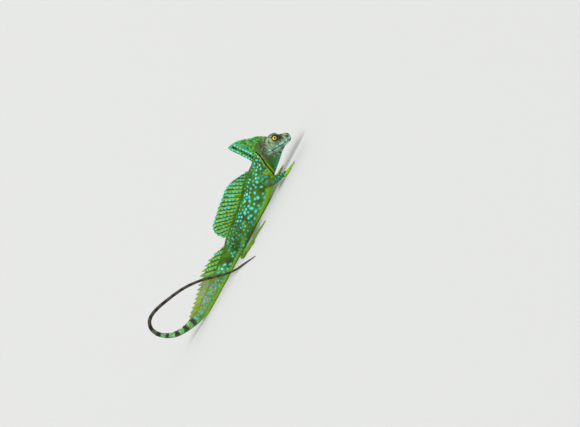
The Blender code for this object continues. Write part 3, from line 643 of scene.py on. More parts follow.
def sculpt_head(points, normals):
    """Moves the head's points: lids, lips, nostrils, ears, cheeks and throat folds."""
    local = body_to_head(points)
    turned = body_to_head(normals + MOUTH_CORNER)
    near = (local[:, 0] > -16) & (local[:, 2] > -40) & (points[:, 0] > 125)
    a, across, n = local.T
    side = np.abs(across)
    lift = np.zeros(len(points))

    jaw = bump(a, 3.0, 11) * bump(n, 1.5, 8) * ramp(side, 6, 10)
    lift += 0.9 * jaw
    temple_dip = bump(a, 9.5, 5) * bump(n, 13.0, 4.5) * ramp(side, 6, 9)
    lift -= 0.9 * temple_dip
    snout_dip = bump(a, 31, 6) * bump(n, 9.5, 3.2) * ramp(side, 3, 6)
    lift -= 0.55 * snout_dip
    ridge = bump(n - (15.6 - 0.33 * (a - 27)), 0, 1.6) * ramp(side, 1.5, 4)
    lift += 0.45 * ridge * ramp(a, 24, 27) * (1 - ramp(a, 37, 40))

    off = n - mouth_height(a)
    along = ramp(a, -0.5, 3.0) * (side > 0.2)
    lift -= 1.05 * np.exp(-((off / 0.36) ** 2)) * along
    upper, lower = np.exp(-(((off - 1.5) / 0.9) ** 2)), np.exp(-(((off + 1.4) / 0.9) ** 2))
    lift += 0.38 * upper * along + 0.3 * lower * along
    corner = np.hypot(a + 1.2, off + 0.2)
    lift -= 0.5 * bump(corner, 0, 2.6) * (side > 6)

    ear = oval_reach(a, n, EAR_AT, 2.6, 3.3)
    lift += np.where(side > 6, -0.95 * (1 - ramp(ear, 0.75, 1.02)) + 0.4 * bump(ear, 1.22, 0.3), 0)
    nostril = oval_reach(a, n, NOSTRIL_AT, 1.1, 0.8)
    lift += np.where(side > 2, -1.1 * (1 - ramp(nostril, 0.5, 1.1)) + 0.3 * bump(nostril, 1.6, 0.6), 0)

    pouch_zone = (n < -9) & (a > -24) & (a < 30)
    fold = np.sin((n * 0.8 + a * 0.35) * TURN / 3.4)
    lift += np.where(pouch_zone, 0.22 * fold * ramp(-n, 9, 14), 0)

    moved = local + turned * (lift * near)[:, None]
    for hand in (1, -1):
        offset, reach, polar = from_gaze(moved, hand)
        axis = gaze(hand)
        tangent = offset - axis * (offset @ axis)[:, None]
        opening = lid_edge(np.abs(tangent[:, 2]) / (np.linalg.norm(tangent, axis=1) + TINY))
        inside = 1 - ramp(polar, opening - math.radians(4), opening + math.radians(3))
        margin = bump(polar, opening + math.radians(8), math.radians(8))
        zone = (reach < 9) & near
        target = np.where(inside > 0.02, reach + (4.1 - reach) * inside, reach) + 0.22 * margin
        crease = bump(polar, opening + math.radians(27), math.radians(7)) * (reach < 8)
        target -= 0.3 * crease
        shaped = EYE_AT * (1, hand, 1) + offset / reach[:, None] * target[:, None]
        moved = np.where(zone[:, None], shaped, moved)
    return np.where(near[:, None], head_to_body(moved), points)


def eye_ring(local):
    """1 on the dark skin of the lids round each eye, 0 away from it."""
    ring = np.zeros(len(local))
    for hand in (1, -1):
        _, reach, polar = from_gaze(local, hand)
        limit = LID_OPENING + math.radians(7)
        ring = np.maximum(ring, (1 - ramp(polar, limit, limit + math.radians(10))) * (reach < 9))
    return ring


# The fold in front of the shoulder, from the nape down to the throat: x and z
FOLD_LINE = ((158.5, 55.0), (155.0, 44.4), (148.6, 32.6), (144.8, 21.9), (141.2, 13.6))


def fold_distance(points):
    """How far behind (+) or ahead (-) of the shoulder fold each point lies, in side view."""
    line = smooth(FOLD_LINE, 8)
    flat = points[:, [0, 2]]
    gaps = np.linalg.norm(flat[:, None] - line[None], axis=2)
    best = gaps.argmin(axis=1)
    x_there = np.interp(points[:, 2], line[::-1, 1], line[::-1, 0])
    return gaps[np.arange(len(points)), best] * np.where(points[:, 0] < x_there, 1, -1)


def sculpt_body(points, normals, anatomy):
    """Folds, ribs and slack skin over the trunk, the neck and the tail."""
    lift = np.zeros(len(points))
    trunk_zone = anatomy.is_part("trunk")
    ahead = anatomy.forward
    ribs = np.sin(ahead * TURN / 6.8 + 1.2 * np.sin(anatomy.angle * 1.3)) * bump(ahead, 82, 45)
    rise = np.sin(anatomy.angle)
    flank = bump(rise, 0.1, 0.8)
    lift += np.where(trunk_zone, 0.16 * ribs * flank, 0)
    slack = np.sin(rise * 9 + ahead * 0.05) * bump(ahead, 60, 60) * bump(rise, -0.3, 0.4)
    lift += np.where(trunk_zone, 0.18 * slack, 0)
    fold = fold_distance(points)
    sides = ramp(off_middle(points), 2, 5)
    neck = (anatomy.is_part("trunk", "pouch")) & (points[:, 0] > 125)
    lift += np.where(neck, (-1.0 * bump(fold, 0.2, 2.0) + 0.5 * bump(fold, 3.4, 3.0)) * sides, 0)
    tail = ramp(-ahead, 4, 30) * trunk_zone
    lift += 0.12 * tail * np.cos(anatomy.angle * 12)
    floor = ramp(points[:, 2], 0.3, 3)
    return points + normals * (lift * floor)[:, None]


def finer(mesh, chosen):
    """Splits each edge between two chosen points."""
    bm = bmesh.new()
    bm.from_mesh(mesh)
    bm.verts.ensure_lookup_table()
    edges = [e for e in bm.edges if chosen[e.verts[0].index] and chosen[e.verts[1].index]]
    bmesh.ops.subdivide_edges(bm, edges=edges, cuts=1, use_grid_fill=True)
    bmesh.ops.triangulate(bm, faces=bm.faces)
    bm.to_mesh(mesh)
    bm.free()


def make_skin():
    """The whole skin. A faint roughness keeps its triangles even while they are thinned out."""
    forms = joined(skin_forms(), "forms")
    dense = modified(forms, "REMESH", mode="VOXEL", voxel_size=VOXEL, use_smooth_shade=True)
    points = vertex_array(dense)
    anatomy = Anatomy(points)
    fine = 1 + 2.6 * anatomy.is_part("head") + 1.0 * anatomy.is_part("paw")
    fine = fine + 0.8 * (anatomy.is_part("trunk") & (anatomy.forward < -130))
    points = relax(points, mesh_edges(dense), 0.10 + 0.5 * anatomy.junction, 10)
    set_vertices(dense, points)
    rough = np.random.default_rng(2).normal(size=len(points)) * 0.05 * fine
    set_vertices(dense, points + normals_of(dense) * rough[:, None])
    mesh = modified(dense, "DECIMATE", ratio=SKIN_SHARE)
    local = body_to_head(vertex_array(mesh))
    lips = (np.abs(local[:, 2] - mouth_height(local[:, 0])) < 1.3) & (local[:, 0] > -2)
    lids = np.zeros(len(local), bool)
    for hand in (1, -1):
        offset = local - EYE_AT * (1, hand, 1)
        lids |= (np.linalg.norm(offset, axis=1) < 7.4) & (offset @ gaze(hand) > 2.2)
    finer(mesh, (lips | lids) & (local[:, 0] < 46))
    mesh.name = "skin"
    points = vertex_array(mesh)
    points = relax(points, mesh_edges(mesh), np.full(len(points), 0.5), 4)
    points[:, 2] = np.maximum(points[:, 2], FLOOR_GAP)
    set_vertices(mesh, points)
    anatomy = Anatomy(points)
    points = sculpt_body(points, normals_of(mesh), anatomy)
    set_vertices(mesh, points)
    points = sculpt_head(points, normals_of(mesh))
    points[:, 2] = np.maximum(points[:, 2], FLOOR_GAP)
    set_vertices(mesh, points)
    mesh.shade_smooth()
    return mesh


def fraction(first, second, seed):
    """A steady pseudo-random number from 0 to 1 for each pair of whole numbers."""
    value = np.sin(np.asarray(first) * 12.9898 + np.asarray(second) * 78.233 + seed * 3.17) * 43758.5453
    return value - np.floor(value)


def tube_point(tube, arc, angle):
    return tube.ring(tube.at(arc), np.array([angle]))[0]


# Rows of spots on the flanks: degrees above the side line, radius, spacing along the body
FLANK_SPOTS = (
    (-32, 3.2, 9.6), (-11, 3.0, 9.0), (9, 2.6, 8.0), (29, 2.3, 7.2), (48, 1.95, 6.6), (66, 1.6, 6.2),
)
TAIL_SPOTS = ((-26, 1.5, 6.2), (-8, 1.6, 6.0), (12, 1.5, 5.8), (34, 1.4, 5.6), (56, 1.2, 5.6))
ARM_SPOTS = (1.2, 3.7)
LEG_SPOTS = (1.5, 6.0)


def spot_seeds():
    """(x, y, z, radius, length over width, direction of its length) of every turquoise spot."""
    rng = np.random.default_rng(11)
    seeds = []

    def on_side(ahead, rise, hand):
        lean = math.radians(rise + rng.uniform(-8, 8))
        return tube_point(trunk, VENT_ARC - ahead, lean if hand < 0 else math.pi - lean)

    for hand in (1, -1):
        for row, (rise, radius, step) in enumerate(FLANK_SPOTS):
            ahead = -4 + 3.3 * row
            while ahead < VENT_ARC - 3:
                small = 1 - 0.32 * float(ramp(ahead, 104, 140)) - 0.25 * float(ramp(-ahead, -28, 4))
                seeds.append((*on_side(ahead, rise, hand), radius * small * rng.uniform(0.62, 1.22)))
                ahead += step * (0.35 + 0.65 * small) * rng.uniform(0.86, 1.14)
        for row, (rise, radius, step) in enumerate(TAIL_SPOTS):
            ahead = -12 - 2.7 * row
            while ahead > -150:
                fade = 1 - 0.35 * float(ramp(-ahead, 20, 110)) + 0.45 * float(bump(ahead, -20, 18))
                seeds.append((*on_side(ahead, rise, hand), radius * fade * rng.uniform(0.6, 1.2)))
                ahead -= step * rng.uniform(0.75, 1.3)
    for tube, (radius, step) in zip(limbs, (ARM_SPOTS, ARM_SPOTS, LEG_SPOTS, LEG_SPOTS)):
        arc, turn = 10.0, 0.0
        while arc < tube.arc[-1] - 5:
            count = max(3, round(tube.sizes[tube.at(arc)][0] * 6.0 / step))
            for k in range(count):
                angle = TURN * (k + turn) / count + rng.uniform(-0.25, 0.25)
                spot = tube_point(tube, arc + rng.uniform(-1, 1), angle)
                seeds.append((*spot, radius * rng.uniform(0.6, 1.2)))
            arc += step
            turn += 0.5
    count = len(seeds)
    lengths = 1 + 0.75 * rng.random(count) ** 1.5
    lie = np.column_stack([rng.uniform(0.2, 1, count), np.zeros(count), rng.uniform(-1, 1, count)])
    return np.column_stack([np.array(seeds), lengths, lie / np.linalg.norm(lie, axis=1, keepdims=True)])


def spot_reach(points, seeds):
    """Distance to the nearest spot, where 1 is its rim, and that spot's radius."""
    best = np.full(len(points), 9.0)
    radius = np.zeros(len(points))
    for start in range(0, len(points), CHUNK):
        part = points[start : start + CHUNK]
        away = part[:, None, :] - seeds[None, :, :3]
        along = (away * seeds[None, :, 5:8]).sum(axis=2) ** 2
        stretch, size = seeds[None, :, 4], seeds[None, :, 3]
        gaps = np.sqrt((away**2).sum(axis=2) * stretch - along * (stretch - 1 / stretch)) / size
        near = gaps.argmin(axis=1)
        best[start : start + CHUNK] = gaps[np.arange(len(part)), near]
        radius[start : start + CHUNK] = seeds[near, 3]
    return best, radius


def wobble(points, size, seed):
    """Smooth noise from -1 to 1 over points, with features about size across."""
    rng = np.random.default_rng(seed)
    total = np.zeros(len(points))
    for _ in range(9):
        direction = rng.normal(size=3)
        direction /= np.linalg.norm(direction)
        along = points @ direction * (TURN / size)
        total += np.sin(along * rng.uniform(0.6, 1.5) + rng.uniform(0, 6.3))
    return np.clip(total / 4.2, -1, 1)


SHOULDER = np.array((128.6, 0.0, 21.6))
LIP_PLATE = 3.4  # length of a plate along the lips
TAIL_BAND = 16.0  # from one dark ring to the next
# Behind the vent, in millimetres along the tail: where a mark begins and where it is full
TAIL_TINT = (8, 60)
FLANK_VEINS, FLANK_VEINS_END = (26, 50), (92, 110)
BLOTCHES, BLOTCHES_END = (30, 62), (96, 112)
RINGS, RING_COLOURS = (96, 116), (98, 112)
WHIP, WHIP_RINGS = (168, 196), (180, 200)


def body_spots(anatomy, collar):
    """Masks of the turquoise spots and of their pale centres."""
    ahead, rise = anatomy.forward, np.sin(anatomy.angle)
    on_trunk = anatomy.is_part("trunk")
    reach, radius = spot_reach(anatomy.points, SEEDS)
    reach = reach + 0.2 * wobble(anatomy.points, 3.4, 4)
    fade = (1 - collar) * (1 - ramp(-ahead, 104, 120) * on_trunk) * (1 - ramp(-rise, 0.62, 0.8) * on_trunk)
    fade = fade * np.where(anatomy.is_part("paw"), 1 - ramp(anatomy.digit_share, 0.0, 0.25), 1)
    fade = fade * np.where(anatomy.is_part("leg_l", "leg_r"), 0.75, 1)
    spot = (1 - ramp(reach, 0.86, 1.16)) * fade
    core = (1 - ramp(reach, 0.25, 0.85)) * fade * ramp(radius, 0.9, 2.1)
    return spot, core


def shoulder_marks_and_shade(anatomy):
    """Round the shoulder: lime front rim, pale arc above, bare skin, painted shade along its lower edge,
    grey patch.
    """
    points = anatomy.points
    on_arm = anatomy.is_part("arm_l", "arm_r")
    near = on_arm | (anatomy.is_part("trunk") & (points[:, 0] > 112) & (points[:, 0] < 142))
    zone = np.where(near & (np.abs(points[:, 1]) > 8), 1.0, 0.0)
    x, _, z = (points - SHOULDER).T
    reach = np.hypot(x, z * 0.86)
    rim = bump(reach, 10.2, 3.2) * ramp(x - 0.5 * z, -2, 5) * zone
    rim = rim * np.where(on_arm, 1 - ramp(anatomy.limb_arc, 22, 29), 1)
    arc = 0.9 * bump(reach, 6.4, 0.8) * ramp(z + 0.7 * x, 5.5, 7) * zone
    bare = zone * (1 - ramp(reach, 7, 12)) * ramp(-z - 0.4 * x, -7, -3)
    # Painted shade: a black line along the shoulder's lower edge, where the arm meets the flank
    edge = bump(reach, 11.6, 1.0) * ramp(-z, 1, 5) * zone * 0.8
    grey = (1 - ramp(reach, 4.2, 6.6)) * zone
    return rim, arc, bare, edge, grey


def head_marks_and_shade(anatomy, head, fold):
    """Masks of spots, pale centres, black, pale and brown on the head and the throat pouch. The black is
    painted shade: in the gap between the lips and in the nostrils.
    """
    points = anatomy.points
    a, across, n = anatomy.local.T
    side = np.abs(across)
    on_head, on_pouch = anatomy.is_part("head"), anatomy.is_part("pouch")
    off = n - mouth_height(a)
    bars = fraction(np.floor(a / LIP_PLATE + 0.3 * np.sign(off)), np.sign(off), 91)
    lips = ramp(a, -3, 2) * (1 - ramp(np.abs(off), 3.2, 4.6)) * head * (0.66 + 0.34 * bars)
    core = lips * (0.2 + 0.45 * bars) * np.where(off > 0, 1, 0.5)

    cheek = 0.45 * (1 - ramp(n, 9, 13)) * ramp(a, -7, 0) * (1 - ramp(a, 20, 27)) * ramp(side, 5, 8) * head
    brow = bump(n, 17.5, 4.5) * bump(a, 20, 9) + (1 - ramp(np.hypot(a - 41, n - 14), 3, 8))
    dapple = ramp(wobble(points, 3.6, 15), 0.05, 0.5)
    under = (on_head | on_pouch) * (1 - ramp(-n, 8, 19)) * ramp(a, -1, 8) * (1 - lips)
    under = under * ramp(wobble(points, 6.5, 44), -0.6, 0.5)
    pale = np.clip(lips + cheek * (1 - lips), 0, 1)
    pale = np.maximum.reduce([pale, 0.42 * np.clip(brow, 0, 1) * dapple * head, 0.75 * under])

    # Painted shade: black in the gap between the lips and inside each nostril, where shade falls
    lip_gap_shade = np.exp(-((off / 0.34) ** 2)) * ramp(a, -1.5, 1.5) * on_head * (side > 0.1)
    nostril = oval_reach(a, n, NOSTRIL_AT, 1.0, 0.75)
    black = np.maximum(0.85 * lip_gap_shade, (1 - ramp(nostril, 0.6, 1.0)) * head * (side > 2))

    eye_line = (1 - ramp(np.hypot(a - 27.2, n - 12.2), 3.0, 6.2)) * 0.75 * head * ramp(side, 3, 5)
    ear = oval_reach(a, n, EAR_AT, 2.2, 2.9)
    ear = (0.3 * (1 - ramp(ear, 0.7, 1.05)) + 0.75 * bump(ear, 1.05, 0.4)) * on_head * (side > 6)
    gaps = 0.6 * (bars < 0.33) * ramp(lips, 0.2, 0.5) * (side > 3)
    lids = eye_ring(anatomy.local)
    brown = np.maximum.reduce([eye_line, ear, gaps, 0.85 * lids * on_head])

    edge = 0.7 * on_pouch * (1 - ramp(points[:, 0], 149, 158)) * ramp(wobble(points, 4.6, 51), 0.3, 0.6)
    rim = 0.5 * on_pouch * (1 - ramp(side, 0.8, 3.0))
    spot = np.maximum(edge, rim) * (fold < -2.5)
    return spot, core, black, pale * (1 - lids), brown


def tail_marks(anatomy):
    """Masks behind the hips: tint, light rings, whip, grey blotches, brown veins, and the ringed part."""
    points, ahead, behind = anatomy.points, anatomy.forward, -anatomy.forward
    rise = np.sin(anatomy.angle)
    on_trunk = anatomy.is_part("trunk")
    beat = np.sin((ahead + 1.6 * wobble(points, 9, 3)) * TURN / TAIL_BAND + 0.6)
    torn = 0.3 * wobble(points, 2.6, 77) + 0.35 * wobble(points, 6, 78)
    rings = ramp(behind, *RINGS) * ramp(beat + torn, -0.35, 0.35)
    rings = np.maximum(rings, 0.55 * ramp(-rise, 0.45, 0.75) * (1 - ramp(behind, 150, 180)))
    rings = rings + 0.5 * ramp(behind, *WHIP_RINGS) * ramp(beat, -0.9, 0.4)
    marble = wobble(points, 9, 21)
    blotch = ramp(marble, -0.25, 0.05) * ramp(behind, *BLOTCHES) * on_trunk
    blotch = blotch * (1 - ramp(behind, *BLOTCHES_END)) * ramp(rise, -0.5, 0.1)
    veins = bump(marble, -0.05, 0.16) + bump(wobble(points, 7, 23), 0, 0.14) * ramp(blotch, 0.4, 0.9)
    flank = ramp(behind, *FLANK_VEINS) * (1 - ramp(behind, *FLANK_VEINS_END)) * ramp(rise, -0.45, 0.1)
    veins = 0.6 * np.clip(veins, 0, 1) * flank * on_trunk
    banded = ramp(behind + 3 * wobble(points, 12, 31), *RING_COLOURS) * on_trunk
    tint, whip = ramp(behind, *TAIL_TINT) * on_trunk, ramp(behind, *WHIP) * on_trunk
    return tint, np.clip(rings, 0, 1) * on_trunk, whip, blotch, veins, banded


def markings_and_shade(anatomy):
    """Colour masks at the anatomy's points, painted shade among them: three layers of four values, and one
    for the ringed part.
    """
    points, ahead = anatomy.points, anatomy.forward
    x, z = points[:, 0], points[:, 2]
    a, _, n = anatomy.local.T
    rise = np.sin(anatomy.angle)
    on_trunk, on_paw = anatomy.is_part("trunk"), anatomy.is_part("paw")
    in_front = (x > 132) & anatomy.is_part("head", "pouch", "trunk")
    fold = fold_distance(points)
    collar = np.where(in_front, ramp(-fold, 0.2, 1.8), 0)
    head = np.where(n > -12, ramp(a - 0.15 * (n - 8), -13, -6), 0) * ramp(n, -9, -4) * in_front
    throat = collar * (1 - head)

    spot, core = body_spots(anatomy, collar)
    rim, arc, bare, edge, grey = shoulder_marks_and_shade(anatomy)
    head_spot, head_core, head_shade, pale, brown = head_marks_and_shade(anatomy, head, fold)
    spot = np.maximum.reduce([spot * (1 - 0.75 * bare) * (1 - rim), arc, head_spot])
    core = np.maximum(core, head_core)

    sides = ramp(off_middle(points), 1.0, 3.0)
    stripe = (1 - ramp(np.abs(fold - 0.7), 1.0, 1.6)) * in_front * sides * ramp(z, 11, 14)
    # The black holds the fold's stripe and painted shade: under the shoulder, between the lips and in the
    # nostrils
    black = np.maximum.reduce([stripe, edge, head_shade])
    low = 1 - ramp(z, 26, 40)
    lime = (1 - 0.75 * low) * bump(fold, 3.1, 1.3) + (0.15 + 0.85 * low) * bump(fold, -2.1, 1.7)
    accent = np.clip(lime * in_front * sides + rim, 0, 1)

    belly = ramp(-rise + 0.05 * wobble(points, 7, 8), 0.42, 0.72)
    belly = belly * (1 - collar) * (1 - ramp(-ahead, 112, 126))
    belly = np.maximum(belly, 0.35 * ramp(-rise, 0.1, 0.5) * bump(ahead, 75, 45)) * on_trunk
    belly = np.clip(belly + on_paw * np.where(x > 100, 0.75, 0.3), 0, 1)

    tint, rings, whip, blotch, veins, banded = tail_marks(anatomy)
    brown = np.clip(whip + np.maximum(brown, veins * (1 - spot)), 0, 1)
    return {
        "marks_and_shade": np.column_stack([spot, core, black, pale]),
        "zones": np.column_stack([belly, np.maximum(head, 0.4 * grey), throat, accent]),
        "tints": np.column_stack([tint, rings, brown, blotch]),
        "banded": banded,
    }


SEEDS = spot_seeds()


def vector_layer(mesh, name, values):
    layer = mesh.attributes.new(name, "FLOAT_VECTOR", "POINT")
    layer.data.foreach_set("vector", np.ascontiguousarray(values, np.float32).ravel())


def colour_layers(mesh, layers):
    """Point layers of four values or of one."""
    for name, values in layers.items():
        plain = values.ndim == 1
        flat = np.ascontiguousarray(values, np.float32).ravel()
        layer = mesh.attributes.new(name, "FLOAT" if plain else "FLOAT_COLOR", "POINT")
        layer.data.foreach_set("value" if plain else "color", flat)


def place(mesh):
    set_vertices(mesh, (vertex_array(mesh) + SHIFT) * MM)
    return mesh


def piece(name, mesh, material, nodes=()):
    """The mesh as one object of the model, riding on its only body."""
    obj = new_object(name, mesh)
    mesh.name = name
    mesh.materials.clear()
    mesh.materials.append(material)
    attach(obj, "root")
    if nodes:
        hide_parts(*nodes)
    return obj


# Colours, as red, green and blue of 0 to 255 on the screen
GREEN_DEEP = (30, 86, 2)
GREEN_LEAF = (74, 150, 4)
GREEN_OLIVE = (94, 98, 2)
BELLY_LIME = (184, 232, 2)
BELLY_GREEN = (134, 204, 6)
TAIL_GREEN = (96, 158, 24)
TAIL_YELLOW = (160, 184, 36)
TAIL_LILAC = (166, 166, 166)
THROAT_TEAL = (26, 114, 58)
THROAT_GREEN = (88, 134, 32)
HEAD_GREY = (110, 119, 80)
HEAD_OLIVE = (74, 86, 28)
PALE_CYAN = (186, 224, 178)
PALE_BLUE = (134, 142, 116)
BAND_DARK = (62, 56, 44)
BAND_LIGHT = (104, 176, 70)
BAND_PALE = (158, 226, 186)
HEAD_BROWN = (52, 44, 26)
WHIP_BROWN = (34, 27, 20)
WHIP_PALE = (92, 80, 56)
SPOT_TURQUOISE = (0, 210, 186)
SPOT_CORE = (160, 252, 248)
ACCENT_LIME = (176, 218, 10)
BLACK_MARK_AND_SHADE = (8, 12, 8)
SKIN_SPECK = (20, 26, 8)
CREST_WEB = (86, 146, 4)
CREST_DEEP = (44, 104, 4)
CREST_LIME = (160, 192, 16)
CREST_LINE = (6, 28, 4)
CREST_CYAN = (8, 208, 176)
CREST_SHADE = (24, 40, 10)
IRIS_GOLD = (246, 210, 6)
IRIS_AMBER = (228, 172, 4)
IRIS_BRIGHT = (255, 226, 40)
PUPIL_BLACK = (10, 8, 6)
EYE_RIM = (14, 12, 8)
CLAW_HORN = (46, 40, 30)
FLOOR_PAPER = (206, 206, 202)


def linear(colour):
    """Linear red, green, blue and alpha from screen values of 0 to 255."""
    share = [c / 255 for c in colour]
    return (*(c / 12.92 if c <= 0.04045 else ((c + 0.055) / 1.055) ** 2.4 for c in share), 1.0)


class Finish:
    """A material being put together, node by node."""

    def __init__(self, name, roughness, coat=0.0, coat_roughness=0.1, specular=0.5):
        self.material = bpy.data.materials.new(name)
        self.material.use_nodes = True
        self.tree = self.material.node_tree
        self.shader = self.tree.nodes["Principled BSDF"]
        self.shader.inputs["Roughness"].default_value = roughness
        self.shader.inputs["Coat Weight"].default_value = coat
        self.shader.inputs["Coat Roughness"].default_value = coat_roughness
        self.shader.inputs["Specular IOR Level"].default_value = specular
        self.position = self.node("ShaderNodeTexCoord").outputs["Object"]

    def node(self, kind, **settings):
        made = self.tree.nodes.new(kind)
        for key, value in settings.items():
            setattr(made, key, value)
        return made

    def join(self, source, target):
        self.tree.links.new(source, target)

    def feed(self, socket, value):
        """Sets a socket to a number or a screen colour, or joins it to another node's output."""
        if isinstance(value, bpy.types.NodeSocket):
            self.join(value, socket)
        else:
            socket.default_value = linear(value) if isinstance(value, tuple) else value

    def layer(self, name):
        """The four channels of a point colour layer."""
        read = self.node("ShaderNodeAttribute", attribute_name=name)
        parts = self.node("ShaderNodeSeparateColor")
        self.join(read.outputs["Color"], parts.inputs[0])
        return [*parts.outputs, read.outputs["Alpha"]]

    def single(self, name):
        """A point layer of one value."""
        return self.node("ShaderNodeAttribute", attribute_name=name).outputs["Fac"]

    def blend(self, below, above, factor):
        mix = self.node("ShaderNodeMix", data_type="RGBA", blend_type="MIX")
        for socket, value in ((mix.inputs[0], factor), (mix.inputs[6], below), (mix.inputs[7], above)):
            self.feed(socket, value)
        return mix.outputs[2]

    def over(self, below, above, mask, strength):
        """The colour above laid over the one below where the mask is, at this strength."""
        return self.blend(below, above, self.times(mask, strength))

    def noise(self, size, detail, low, high):
        """Noise with features about size millimetres across, from 0 to 1 between low and high."""
        noise = self.node("ShaderNodeTexNoise")
        noise.inputs["Scale"].default_value = 1 / (size * MM)
        noise.inputs["Detail"].default_value = detail
        self.join(self.position, noise.inputs["Vector"])
        return self.ranged(noise.outputs[0], low, high)

    def ranged(self, value, low, high, to_low=0.0, to_high=1.0):
        span = self.node("ShaderNodeMapRange")
        self.join(value, span.inputs["Value"])
        names = ("From Min", "From Max", "To Min", "To Max")
        for name, number in zip(names, (low, high, to_low, to_high)):
            span.inputs[name].default_value = number
        return span.outputs["Result"]

    def times(self, first, second):
        maths = self.node("ShaderNodeMath", operation="MULTIPLY")
        for socket, value in zip(maths.inputs, (first, second)):
            self.feed(socket, value)
        return maths.outputs[0]

    def relief(self, height, strength, distance):
        bumps = self.node("ShaderNodeBump")
        bumps.inputs["Strength"].default_value = strength
        bumps.inputs["Distance"].default_value = distance * MM
        self.join(height, bumps.inputs["Height"])
        self.join(bumps.outputs[0], self.shader.inputs["Normal"])

    def paint(self, colour):
        self.join(colour, self.shader.inputs["Base Color"])
        return self.material


def animal_finish(name, depth, relief):
    """The skin's or the scales' finish. depth is painted shade: it darkens the colours between the scales,
    where shade falls, and the tone layer adds up to 0.22 more darkening.
    """
    finish = Finish(name, roughness=0.46, coat=0.05, coat_roughness=0.3, specular=0.22)
    blend, over = finish.blend, finish.over
    spot, core, black, pale = finish.layer("marks_and_shade")
    belly, head, throat, accent = finish.layer("zones")
    tail, rings, brown, blotch = finish.layer("tints")
    broad = finish.noise(16, 2.0, 0.36, 0.64)
    fine = finish.noise(2.2, 3.0, 0.35, 0.65)
    speck = finish.noise(1.1, 1.0, 0.45, 0.7)
    colour = over(blend(GREEN_DEEP, GREEN_LEAF, broad), GREEN_OLIVE, fine, 0.62)
    colour = blend(colour, blend(BELLY_LIME, BELLY_GREEN, fine), belly)
    off_belly = finish.ranged(belly, 0.0, 1.0, 0.8, 0.25)
    colour = over(colour, blend(TAIL_GREEN, TAIL_YELLOW, fine), tail, off_belly)
    colour = over(colour, TAIL_LILAC, blotch, 0.8)
    colour = blend(colour, blend(THROAT_TEAL, THROAT_GREEN, broad), throat)
    colour = blend(colour, blend(HEAD_GREY, HEAD_OLIVE, fine), head)
    dapple = finish.times(head, finish.noise(3.4, 2.0, 0.52, 0.62))
    colour = over(colour, HEAD_BROWN, dapple, 0.72)
    colour = blend(colour, blend(PALE_CYAN, PALE_BLUE, broad), pale)
    light_ring = blend(BAND_LIGHT, BAND_PALE, finish.noise(3.0, 2.0, 0.5, 0.62))
    colour = blend(colour, blend(BAND_DARK, light_ring, rings), finish.single("banded"))
    colour = blend(colour, over(WHIP_BROWN, WHIP_PALE, rings, 0.7), brown)
    colour = blend(colour, SPOT_TURQUOISE, spot)
    colour = over(colour, SPOT_CORE, core, 0.9)
    colour = over(colour, ACCENT_LIME, accent, 0.9)
    # Black markings and painted shade: under the shoulder, between the lips and in the nostrils
    colour = over(colour, BLACK_MARK_AND_SHADE, black, 0.95)
    colour = over(colour, SKIN_SPECK, speck, 0.22)
    # Painted shade: all colours darkened towards black by depth, plus up to 0.22 more by the tone layer
    colour = blend(colour, (0, 0, 0), finish.ranged(finish.single("tone"), 0.0, 1.0, depth, depth + 0.22))
    finish.relief(fine, relief, 0.25)
    return finish.paint(colour)


# Crests, with the solids' outlines
SAIL_FRONT, SAIL_BACK, SAIL_RAYS, SAIL_NOTCH = 126.0, 29.0, 18, 0.93
# Share of the crest's length, ray length, rake back in degrees
SAIL_KEYS = (
    (0.0, 6.0, 36), (0.06, 13.5, 33), (0.18, 25.0, 31), (0.30, 30.5, 31), (0.52, 35.0, 36),
    (0.72, 36.5, 42), (0.82, 34.0, 45), (0.88, 29.5, 47), (0.94, 21.5, 51), (1.0, 12.0, 56),
)
FRINGE_FRONT, FRINGE_BACK, FRINGE_RAYS, FRINGE_NOTCH = 10.0, -112.0, 16, 0.69
FRINGE_KEYS = (
    (0.0, 3.0, 50), (0.06, 15.0, 46), (0.15, 24.5, 46), (0.28, 28.0, 46), (0.36, 27.0, 46),
    (0.57, 21.0, 47), (0.82, 15.5, 48), (0.92, 12.5, 50), (1.0, 6.0, 54),
)
PER_RAY = 16  # columns of points from one ray to the next
LANES = 4  # rows of scales from one ray to the next
WEB_ROOT, WEB_EDGE = 0.5, 0.2
RAY_ROOT, RAY_EDGE, RAY_WIDTH = 1.1, 0.42, 0.85
# Root a, root n, edge a, edge n in the head's frame
HEAD_CREST_KEYS = (
    (13.0, 16.0, 13.0, 20.9), (9.0, 16.0, 7.2, 24.6), (4.0, 16.0, 0.5, 28.8), (-1.0, 16.0, -5.8, 31.0),
    (-6.4, 16.0, -10.6, 31.6), (-9.0, 15.0, -14.8, 33.6), (-13.0, 12.5, -22.0, 36.2),
    (-16.5, 9.0, -31.0, 38.4), (-19.0, 5.5, -40.0, 38.6), (-21.0, 2.5, -48.6, 36.4),
    (-22.5, -0.5, -45.6, 28.6), (-23.5, -3.0, -40.4, 21.8), (-24.0, -5.0, -35.4, 14.6),
    (-24.0, -7.0, -31.0, 8.0), (-23.5, -8.5, -26.5, 2.6),
)
HEAD_CREST_ROOT, HEAD_CREST_EDGE = 1.5, 0.35


def back_height(x):
    """Height of the skin along the middle of the back."""
    count = int(np.argmin(trunk.points[:, 0]))
    tops = (trunk.points + trunk.up * trunk.sizes[:, 1:2])[:count]
    return np.interp(-np.asarray(x), -tops[:, 0], tops[:, 2])


def ovals(u, v, seed, share, half_u, half_v):
    """1 inside ovals in the cells of a grid, each a little out of place and some missing."""
    i, j = np.floor(u), np.floor(v)
    centre_u = i + 0.5 + 0.26 * (fraction(i, j, seed) - 0.5)
    centre_v = j + 0.5 + 0.26 * (fraction(i, j, seed + 1) - 0.5)
    size = 0.72 + 0.42 * fraction(i, j, seed + 2)
    reach = np.hypot((u - centre_u) / (half_u * size), (v - centre_v) / (half_v * size))
    return (fraction(i, j, seed + 3) < share) * (1 - ramp(reach, 0.72, 1.12))


